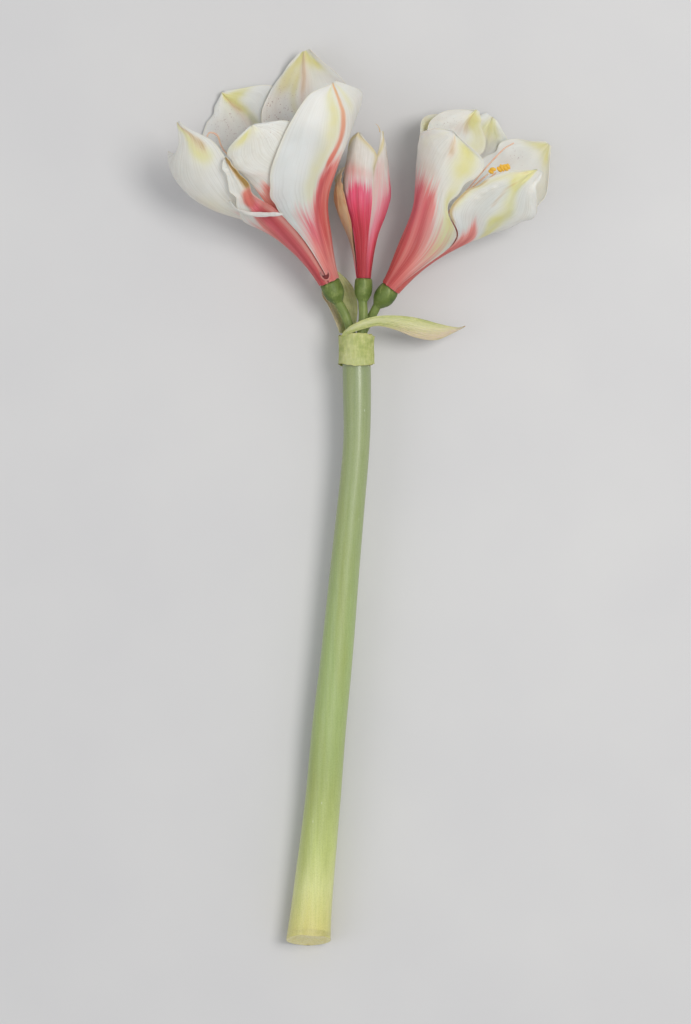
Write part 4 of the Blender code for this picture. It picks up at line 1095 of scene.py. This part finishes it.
channelRim = {  # the ruffled white rim that folds over the mouth of the channel petal
    "path": (  # distance along the bloom, turn, mm out from the funnel and half width
        (75, 301.5, 5.0, 1.2), (69, 299.5, 5.0, 2.0), (63.5, 301, 4.7, 2.1), (60, 307, 4.2, 1.7),
        (58, 315, 3.9, 1.4), (56.3, 323, 3.7, 1.3), (54.8, 330, 3.2, 1.1), (53.6, 336, 2.2, 0.3),
    ),
    "steps": (90, 13),
    "thickness": 0.45,
    "curl": 0.35,
    "ruffle": 0.35,
    "widthChange": 0.2,
}
footLip = {  # the small opening with a rolled lip at the left bloom's foot, dark inside with painted shade
    "middle": (5.8, -5.0),  # distance and turn
    "halfSize": (3.8, 2.9),
    "out": 1.75,
    "lipRadius": 0.55,
    "lipTurn": 158,  # degrees to either side that the lip runs
    "lipSteps": (60, 14),
    "dishDepth": 0.45,
    "dishThickness": 0.25,
    "dishSteps": (9, 37),
}
dryHair = {  # the dried thread in which the bud's right petal ends
    "path": ((94.4, 6.9, 0.7), (96.5, 6.5, 1.1), (98.4, 5.4, 1.5), (99.6, 3.9, 1.7)),
    "radii": (0.42, 0.14),
    "steps": (30, 10),
}


def makeChannelRim():
    t, s, tGrid, sGrid = sheetSteps(*channelRim["steps"])
    distance, turn, out, width = smoothCurve(channelRim["path"], t).T
    radius = funnelRadius(leftBloom, distance, turn)
    path = aroundBloom(leftBloom, distance, turn, radius + out)
    away = path - aroundBloom(leftBloom, distance, turn, radius + out - 1)
    side = unit(np.cross(unit(np.gradient(path, axis=0)), away))
    height = -channelRim["curl"] * width[:, None] * s**2
    height = height + channelRim["ruffle"] * softNoise(tGrid, sGrid, 16, 2, 31) * np.sin(np.pi * tGrid) ** 0.5
    reach = width[:, None] * s * (1 + channelRim["widthChange"] * softNoise(tGrid, sGrid, 12, 1, 32))
    sheet = path[:, None] + side[:, None] * reach[..., None] + away[:, None] * height[..., None]
    points, faces = thinPlate(sheet, channelRim["thickness"])
    return [(points, faces, {"redness": -1.0})]


def makeFootLip():
    along, across = footLip["halfSize"]
    middle, turnMiddle = footLip["middle"]
    radius = funnelRadius(leftBloom, np.array([middle]), np.array([turnMiddle]))[0] + footLip["out"]

    def spot(ring, angle, depth=0):
        turn = turnMiddle + np.degrees(across * ring * np.sin(angle) / radius)
        return aroundBloom(leftBloom, middle - along * ring * np.cos(angle), turn, radius - depth)

    steps, sides = footLip["lipSteps"]
    path = spot(1, np.radians(np.linspace(-footLip["lipTurn"], footLip["lipTurn"], steps)))
    thick = footLip["lipRadius"] * np.sin(np.linspace(0.12, np.pi - 0.12, steps)) ** 0.35
    lip = closedTube(tubeRings(path, thick, sides))
    rings, rays = footLip["dishSteps"]
    ring, ray = np.meshgrid(np.linspace(0, 1, rings), np.linspace(0, 2 * np.pi, rays), indexing="ij")
    dish = thinPlate(spot(ring, ray, footLip["dishDepth"] * (1 - ring**2))[1:], footLip["dishThickness"])
    return [
        (*lip, {"redness": 0.35, "pale": 0.45}),
        # the dish is a dark sheet of painted shade inside the opening
        (*dish, {"redness": 0.4, "deep": 1.0, "shade": 1.0}),
    ]


def makeDryHair():
    rows, sides = dryHair["steps"]
    path = inBloom(bud, smoothCurve(dryHair["path"], np.linspace(0, 1, rows)))
    rings = tubeRings(path, np.linspace(*dryHair["radii"], rows), sides)
    return [(*closedTube(rings), {"redness": -1.0, "brown": 1.0})]


extraShapes = {
    "left_bloom_petal_channel": (makeChannelRim, makeFootLip),
    "bud_petal_right": (makeDryHair,),
}


veinKinds = {  # how many cells across and along a petal, as shares of the vein count
    "veins": (1.0, 2.2),  # some 1.5 mm apart over a 60 mm petal
    "fine": (2.6, 3.2),  # 0.6 mm apart, between the veins
    "wide": (0.22, 1.5),  # slow changes over 7 mm
}


def petalTissue(name, tones):
    # petal tissue is water and air behind a thin cuticle: matt-satin, and bright with light passing through
    made, add = newMaterial(name)
    uv = add("UVMap", uv_map="petal")
    place = add("TexCoord").outputs["Object"]
    field = {tint: add("Attribute", attribute_name=tint).outputs["Fac"] for tint in tintNames}
    noise = {}
    for kind, (across, along) in veinKinds.items():
        space = add("Mapping", Vector=uv, Scale=(tones["veins"] * across, along, 1))
        noise[kind] = add("TexNoise", Vector=space, Scale=1.0, Detail=2.0, Distortion=0.2)
    veins, fine, wide = noise["veins"], noise["fine"], noise["wide"]
    cloud = add("TexNoise", Vector=place, Scale=60.0, Detail=4.0)  # clouds 17 mm across
    base = add("ValToRGB", Fac=cloud, stops=[(0.32, tones["whiteLow"]), (0.66, tones["whiteHigh"])])
    veinTone = add("ValToRGB", Fac=fine, stops=[(0.36, "dedad4"), (0.52, "ffffff")])
    base = add("MixRGB", blend_type="MULTIPLY", Fac=0.34, Color1=base, Color2=veinTone)
    # a wash of yellow, broken up by the clouds
    uneven = 0.35
    for pattern, share in ((wide, 0.4), (cloud, 0.9)):
        uneven = add("Math", operation="MULTIPLY_ADD", in0=pattern, in1=share, in2=uneven)
    uneven = add("Math", operation="MULTIPLY", in0=uneven, in1=field["yellow"])
    yellow = add("MapRange", Value=uneven, From_Max=1.15, interpolation_type="SMOOTHSTEP")
    yellowTone = add("ValToRGB", Fac=yellow, stops=tones["yellow"])
    # pinkish grey and brown follow the veins
    veined = add("Math", operation="ADD", in0=veins, in1=0.35)
    blush = add("Math", operation="MULTIPLY", in0=field["blush"], in1=veined, use_clamp=True)
    brown = add("Math", operation="MULTIPLY_ADD", in0=veins, in1=0.5, in2=field["brown"])
    brown = add("MapRange", Value=brown, From_Min=0.3, From_Max=1.25, interpolation_type="SMOOTHSTEP")
    brownTone = add("ValToRGB", Fac=brown, stops=tones["brown"])
    # the margin is a thin cream line
    petalMap = add("SeparateXYZ", Vector=uv)
    offMiddle = add("Math", operation="SUBTRACT", in0=petalMap.outputs["X"], in1=0.5)
    offMiddle = add("Math", operation="ABSOLUTE", in0=offMiddle)
    margin = add("MapRange", Value=offMiddle, From_Min=0.478, From_Max=0.498, To_Max=0.5)
    # the brightest wash is painted light: it lifts hollows and faces turned from the lamps, which lie in
    # shade
    washes = [
        (field["glow"], "f8f6ee"), (yellow, yellowTone), (blush, tones["blush"]), (brown, brownTone),
        (margin, tones["margin"]),
    ]
    for share, tone in washes:
        base = add("MixRGB", Fac=share, Color1=base, Color2=tone)
    # red climbs the veins, so its edge breaks into streaks
    climb = tones["climb"]
    spread = field["redness"]
    for pattern, share in ((veins, 1.0), (fine, 0.6), (wide, 0.4)):
        spread = add("Math", operation="MULTIPLY_ADD", in0=pattern, in1=climb * share, in2=spread)
    isRed = add("MapRange", Value=spread, From_Min=climb - 0.035, From_Max=climb + 0.06)
    depth = add("MapRange", Value=spread, From_Min=climb, From_Max=climb + 0.5)
    red = add("ValToRGB", Fac=depth, stops=tones["red"])
    darkWide = add("MapRange", Value=wide, From_Min=0.40, From_Max=0.66, To_Max=0.35)
    paleFine = add("MapRange", Value=fine, From_Min=0.50, From_Max=0.66, To_Max=0.5)
    # pale strokes on the red are partly the tissue's paler streaks and partly a painted highlight along the
    # keels
    glazes = [
        (field["pink"], "pink"), (darkWide, "deep"), (paleFine, "paleVein"), (field["pale"], "paleVein"),
        (field["deep"], "deep"),
    ]
    for share, tone in glazes:
        share = add("Math", operation="MULTIPLY", in0=share, in1=0.85)
        red = add("MixRGB", Fac=share, Color1=red, Color2=tones[tone])
    stripeTone = add("ValToRGB", Fac=petalMap.outputs["Y"], stops=tones["stripe"])
    stripe = add("Math", operation="MULTIPLY_ADD", in0=fine, in1=0.5, in2=field["stripe"])
    stripe = add("MapRange", Value=stripe, From_Min=0.35, From_Max=1.05, interpolation_type="SMOOTHSTEP")
    # bruises: brown-pink flecks 0.4 mm across, drawn at 0.6 mm so that they show
    dots = add("TexVoronoi", Vector=place, Scale=760.0)
    dots = add("MapRange", Value=dots.outputs["Distance"], From_Min=0.34, From_Max=0.16)
    rare = add("TexNoise", Vector=place, Scale=400.0, Detail=1.0)
    rare = add("MapRange", Value=rare, From_Min=0.47, From_Max=0.57)
    for share in (rare, field["fleck"]):
        dots = add("Math", operation="MULTIPLY", in0=dots, in1=share)
    # the greyish multiply is painted shade: the shadow under the channel's rim, the bud's shaded low part and
    # the opening at the left bloom's foot
    marks = [
        ("MIX", isRed, red), ("MIX", stripe, stripeTone), ("MULTIPLY", field["shade"], "b79a94"),
        ("MIX", dots, "b3918a"),
    ]
    for blend, share, tone in marks:
        base = add("MixRGB", blend_type=blend, Fac=share, Color1=base, Color2=tone)
    # veins in relief, and the cells of the skin
    cells = add("TexNoise", Vector=place, Scale=1400.0, Detail=1.0)
    relief = veins
    for pattern, share in ((fine, 0.6), (cells, 0.3)):
        relief = add("Math", operation="MULTIPLY_ADD", in0=pattern, in1=share, in2=relief)
    relief = add("Bump", Height=relief, Strength=0.3, Distance=0.0003)
    return finishMaterial(
        made, base, relief, Roughness=0.52, IOR=1.42,
        Subsurface_Weight=0.75, Subsurface_Radius=(1.0, 0.85, 0.75), Subsurface_Scale=0.0025)


def makePetals(petals, bloom, steps, tissue, firstSeed):
    thick = petalShape["thickness"]
    for seed, (node, given) in enumerate(petals.items(), firstSeed):
        petal = {**plainPetal, **given}
        sheet, u, v = petalSheet(bloom, petal, steps, seed)
        thickness = thick["edge"] + thick["middle"] * (1 - v**4)
        thickness = thickness + thick["foot"] * hill(u, petalShape["thickFoot"])
        thickness = thickness + thick["midrib"] * hill(v, petalShape["thickMidrib"])
        points, faces = thinPlate(sheet, thickness)
        reach, rays = [np.interp(v, *zip(*petal[key])) for key in ("red", "rays")]
        fields = {"redness": bothFaces((reach - u) * rays)}
        for tint in tintNames[1:]:
            fields[tint] = bothFaces(brush(u, v, petal[tint]))
        shapes = [(points, faces, fields)]
        for makeExtra in extraShapes.get(node, ()):
            shapes += makeExtra()
        allPoints, faces, fields = joinShapes(shapes)
        petalMap = np.full((len(allPoints), 2), 0.5)
        petalMap[: len(points)] = bothFaces((v + 1) / 2, u)
        makePiece(node, tissue, allPoints, faces, fields, {"petal": petalMap})


bloomTones = {
    "veins": 40,  # across a petal
    "whiteLow": "dcdbd2", "whiteHigh": "e5e5de", "margin": "dfd6b6", "blush": "d9c3ba",
    "yellow": [(0.0, "e4e3c9"), (1.0, "dcd696")],
    "brown": [(0.0, "d9b184"), (1.0, "a88a4e")],
    "climb": 0.2,  # share of the petal's length that the red's streaks reach
    "red": [(0.0, "f2bab4"), (0.16, "ee948b"), (0.45, "d4625c"), (1.0, "c4544e")],
    "pink": "e86a80", "deep": "ae3c40", "paleVein": "e6ada2",
    "stripe": [(0.45, "cc575a"), (0.58, "d67a6e"), (0.72, "dfa08a"), (0.88, "deb294"), (1.0, "d8ac80")],
}
bloomTissue = petalTissue("amaryllisPetalTissue", bloomTones)
makePetals(leftPetals, leftBloom, petalShape["steps"], bloomTissue, 100)
makePetals(rightPetals, rightBloom, petalShape["steps"], bloomTissue, 200)


print("scene: the bud")
budPetals = {
    "bud_petal_front": {
        "layer": "outer", "tip": (93, -43), "keel": 0.6,
        "low": ((0, -66), (20, -66), (40, -68), (58, -76), (76, -88), (88, -84)),
        "middle": ((0, -28), (20, -28), (40, -29), (58, -32), (74, -36), (87, -42)),
        "high": ((0, 14), (20, 14), (40, 14), (56, 14), (69, 16), (80, 21)),
        "red": ((-1, 0.3), (-0.8, 0.38), (-0.6, 0.47), (-0.2, 0.53), (0.3, 0.56), (0.7, 0.54), (1, 0.5)),
        "rays": ((-1, 0.45), (-0.65, 0.6), (-0.45, 1), (1, 1)),
        "yellow": [(0.8, 0.08, 0.14, (0.6, -1), (0.8, -0.9), (0.97, 0), (0.85, 0.95), (0.7, 1))],
        "brown": [(0.5, 0.05, 0.09, (0.62, -1), (0.86, -1), (0.98, 0), (0.88, 0.97), (0.64, 1))],
        "blush": [(0.8, 0.05, 1.2, (0.6, 0))],
        "pink": [(0.8, 0.08, 0.5, (0.46, 0.1))],
        "deep": [
            (0.9, 0.22, 3, (0, 0)), (0.4, 0.2, 0.1, (0.4, 0.2), (0.1, 0.2)),
            (0.35, 0.2, 0.05, (0.42, -0.25)),
        ],
    },
    "bud_petal_left": {
        "layer": "outer", "tip": (71, 267), "lift": (7, 1.7), "wave": (0.8, 2.2, 0.4),
        "low": ((0, 192), (20, 192), (36, 206), (48, 226), (58, 240), (65, 254)),
        "middle": ((0, 234), (20, 238), (34, 256), (47, 271), (57, 273), (65, 268)),
        "high": ((0, 276), (20, 286), (33, 311), (46, 315), (57, 305), (65, 284)),
        "red": ((-1, 0.15), (1, 0.12)),
        "yellow": [(0.9, 0.6, 3, (0.5, 0))],
        # painted shade over the part near the foot
        "shade": [(0.7, 0.2, 3, (0.15, 0))],
        "brown": [
            (0.55, 0.5, 3, (0.45, 0)), (0.5, 0.1, 0.12, (0.3, 1), (0.9, 1)), (0.4, 0.4, 0.1, (0.5, -0.3)),
        ],
        "folds": [(0.5, 0.3, 0.07, (0.4, 0.3)), (0.4, 0.3, 0.06, (0.5, -0.1))],
    },
    "bud_petal_right": {
        "layer": "outer", "tip": (95, 84), "keel": 0.5, "tuck": 1,
        "low": ((0, 12), (20, 8), (40, 5), (57, 6), (70, 15), (80, 34)),
        "middle": ((0, 100), (20, 100), (40, 98), (58, 96), (76, 88), (86, 86)),
        "high": ((0, 182), (20, 182), (40, 180), (58, 174), (74, 156), (86, 126)),
        "red": ((-1, 0.3), (-0.85, 0.35), (-0.7, 0.43), (-0.5, 0.54), (0, 0.6), (1, 0.6)),
        "rays": ((-1, 0.4), (-0.65, 0.45), (-0.4, 0.7), (1, 1)),
        "yellow": [(0.8, 0.07, 0.12, (0.62, -1), (0.8, -0.95), (1, -0.2), (0.9, 0.9))],
        "brown": [(0.4, 0.05, 0.07, (0.4, -0.9), (0.66, -1), (0.84, -0.95), (1, 0), (0.9, 0.95))],
        "pale": [(0.9, 0.16, 0.22, (0.52, -0.55), (0.32, -0.75))],
        "blush": [(0.9, 0.15, 0.25, (0.58, -0.8), (0.36, -0.95))],
        "deep": [(0.9, 0.2, 3, (0, 0)), (0.6, 0.2, 0.15, (0.5, 0.1), (0.2, 0.1))],
    },
    "bud_petal_inner_left": {
        "layer": "inner", "tip": (81, 258),
        "low": ((0, 198), (18, 198), (34, 198), (50, 198), (62, 202), (72, 214)),
        "middle": ((0, 258), (18, 258), (34, 258), (50, 258), (64, 258), (74, 258)),
        "high": ((0, 318), (18, 318), (34, 318), (50, 318), (62, 314), (72, 302)),
        "red": ((-1, 0.5), (1, 0.5)),
        "yellow": [(0.7, 0.2, 2, (0.95, 0))],
        "brown": [(0.4, 0.1, 2, (0.95, 0))],
    },
    "bud_petal_inner_front": {
        "layer": "inner", "tip": (74, 30),
        "low": ((0, -34), (18, -34), (32, -34), (46, -34), (58, -30), (66, -20)),
        "middle": ((0, 30), (18, 30), (32, 30), (46, 30), (59, 30), (68, 30)),
        "high": ((0, 96), (18, 96), (32, 96), (46, 96), (58, 92), (66, 80)),
        "red": ((-1, 0.5), (1, 0.5)),
        "yellow": [(0.7, 0.2, 2, (0.95, 0))],
        "brown": [(0.5, 0.12, 2, (0.95, 0))],
    },
}
budTones = {
    "veins": 26,
    "whiteLow": "ddd4c9", "whiteHigh": "e7e0d8", "margin": "cdb587", "blush": "e6aaa5",
    "yellow": [(0.0, "e2d6b2"), (1.0, "cfbd82")],
    "brown": [(0.0, "eed7b0"), (1.0, "d6b589")],
    "climb": 0.2,
    "red": [(0.0, "f6aab6"), (0.1, "f8708e"), (0.3, "f04e6c"), (0.6, "c83444")],
    "pink": "fa5a84", "deep": "a0282f", "paleVein": "f299a3",
    "stripe": [(0.0, "d9405f"), (1.0, "d9405f")],
}
budTissue = petalTissue("budPetalTissue", budTones)
makePetals(budPetals, bud, petalShape["budSteps"], budTissue, 300)


print("scene: styles, filaments and anthers")
filaments = {  # node: its bloom, places in it (along the axis, right, up) and the radii of its ends, mm
    "left_bloom_style": (
        leftBloom,
        ((-0.2, 0, 0), (40, -4, -2), (75, -14, -6), (102, -27, -11), (114, -27.5, -12), (118, -31, -12.5),
         (116.5, -34, -13)),
        (0.9, 0.75),
    ),
    "right_bloom_style": (
        rightBloom, ((-0.2, 0, -0.6), (45, 0.5, -2), (85, 2.5, -1), (112, 5, 1), (122, 8.5, 2)), (0.8, 0.6),
    ),
    "right_bloom_filament_near": (
        rightBloom, ((4, 0.5, 2.6), (40, 1.2, 4), (72, 2.4, 7), (90, 5.6, 9), (96.6, 7.2, 9.5)), (0.8, 0.7),
    ),
    "right_bloom_filament_far": (
        rightBloom, ((4, 2.5, -0.3), (40, 4.5, 1), (72, 6.5, 3), (92, 9, 6), (100.2, 10.8, 6.9)), (0.8, 0.7),
    ),
}
thread = {
    "steps": (120, 20),
    "fullness": 0.8,  # share of the radii above
    "waves": 9.0,  # radians of thinner and thicker along the thread
    "waist": 0.2,
    "end": (0.97, 0.86, 0.5),  # how its last rings close
}
anthers = {  # lobes: mm along and across the anther, half length and width, how far it is turned
    "right_bloom_anther_near": {
        "middle": (99.8, 8.0, 10.0),
        "heading": 10.0,
        "lobes": ((-1.1, 0.1, (1.9, 1.3), 70), (0.9, -0.2, (2.1, 1.4), 50), (-0.2, -0.9, (1.6, 0.9), 10)),
    },
    "right_bloom_anther_far": {
        "middle": (105.4, 12.9, 7.2),
        "heading": 38.0,
        "lobes": (
            (-3.0, 0.2, (2.2, 1.3), 60), (-1.0, -0.3, (2.6, 1.3), 75), (1.1, 0.3, (2.5, 1.4), 65),
            (3.1, -0.1, (2.0, 1.2), 80), (0.0, -1.4, (3.0, 0.9), 0),
        ),
    },
}
lobe = {
    "steps": (33, 32),
    "squash": 0.85,
    "lumps": 0.14,
    "groove": (0.2, 0.4),  # depth as a share of the radius, and how wide it is in radians
    "leastRadius": 0.05,
}


def filamentTissue():
    # a stamen's thread is juicy stem: salmon pink, smooth and a little see-through
    made, add = newMaterial("filamentTissue")
    place = add("TexCoord").outputs["Object"]
    cloud = add("TexNoise", Vector=place, Scale=240.0, Detail=3.0)
    tone = add("ValToRGB", Fac=cloud, stops=[(0.3, "ebbfa6"), (0.55, "efccb3"), (0.75, "f4dcc6")])
    fine = add("TexNoise", Vector=place, Scale=2200.0, Detail=1.0)
    relief = add("Bump", Height=fine, Strength=0.2, Distance=0.0001)
    return finishMaterial(
        made, tone, relief, Roughness=0.42, IOR=1.42, Subsurface_Weight=0.25, Subsurface_Scale=0.001)


def pollenDust():
    # anthers are covered in pollen: powder-matt, deep orange-yellow, grains 0.1 mm drawn at 0.35 mm to show
    made, add = newMaterial("pollenDust")
    place = add("TexCoord").outputs["Object"]
    grains = add("TexVoronoi", Vector=place, Scale=2800.0).outputs["Distance"]
    tone = add("ValToRGB", Fac=grains, stops=[(0.1, "ffdf76"), (0.45, "fbc953"), (0.9, "eeab35")])
    relief = add("Bump", Height=grains, Strength=0.7, Distance=0.0002, invert=True)
    return finishMaterial(made, tone, relief, Roughness=0.9, IOR=1.4)


def makeThreads():
    tissue = filamentTissue()
    rows, sides = thread["steps"]
    waist = 1 - thread["waist"] * np.sin(np.linspace(0, thread["waves"], rows)) ** 2
    for node, (bloom, places, ends) in filaments.items():
        path = inBloom(bloom, smoothCurve(places, np.linspace(0, 1, rows)))
        reach = thread["fullness"] * np.linspace(*ends, rows) * waist
        reach[-3:] *= thread["end"]
        points, faces = closedTube(tubeRings(path, reach, sides))
        makePiece(node, tissue, points, faces)


def lobeRipple(seed, share, turn):
    # lumps of pollen, and a groove down each side
    deep, wide = lobe["groove"]
    fine = softNoise(share, turn / np.pi - 1, 12, 14, seed) * np.sin(turn / 2) ** 2
    return lobe["lumps"] * fine - deep * hill(np.mod(turn, np.pi) - np.pi / 2, wide)


def makeAnthers():
    pollen = pollenDust()
    rows, sides = lobe["steps"]
    t = np.sin(np.linspace(-1, 1, rows) * np.pi / 2 * 0.98)
    for seed, (node, anther) in enumerate(anthers.items(), 40):
        angle = np.radians(anther["heading"])
        forward = np.array([np.cos(angle), np.sin(angle), 0.15])
        sideways = np.array([-np.sin(angle), np.cos(angle), 0])
        shapes = []
        for along, across, (halfLength, halfWidth), turned in anther["lobes"]:
            middle = np.array(anther["middle"]) + along * forward + across * sideways
            lean = np.radians(anther["heading"] + turned)
            direction = np.array([np.cos(lean), np.sin(lean), 0.1])
            path = inBloom(rightBloom, middle + t[:, None] * halfLength * direction)
            reach = halfWidth * np.sqrt(1 - t**2) + lobe["leastRadius"]
            rings = tubeRings(path, reach, sides, lobe["squash"], lambda *place: lobeRipple(seed, *place))
            shapes.append((*closedTube(rings), {}))
        points, faces, _ = joinShapes(shapes)
        makePiece(node, pollen, points, faces)


makeThreads()
makeAnthers()
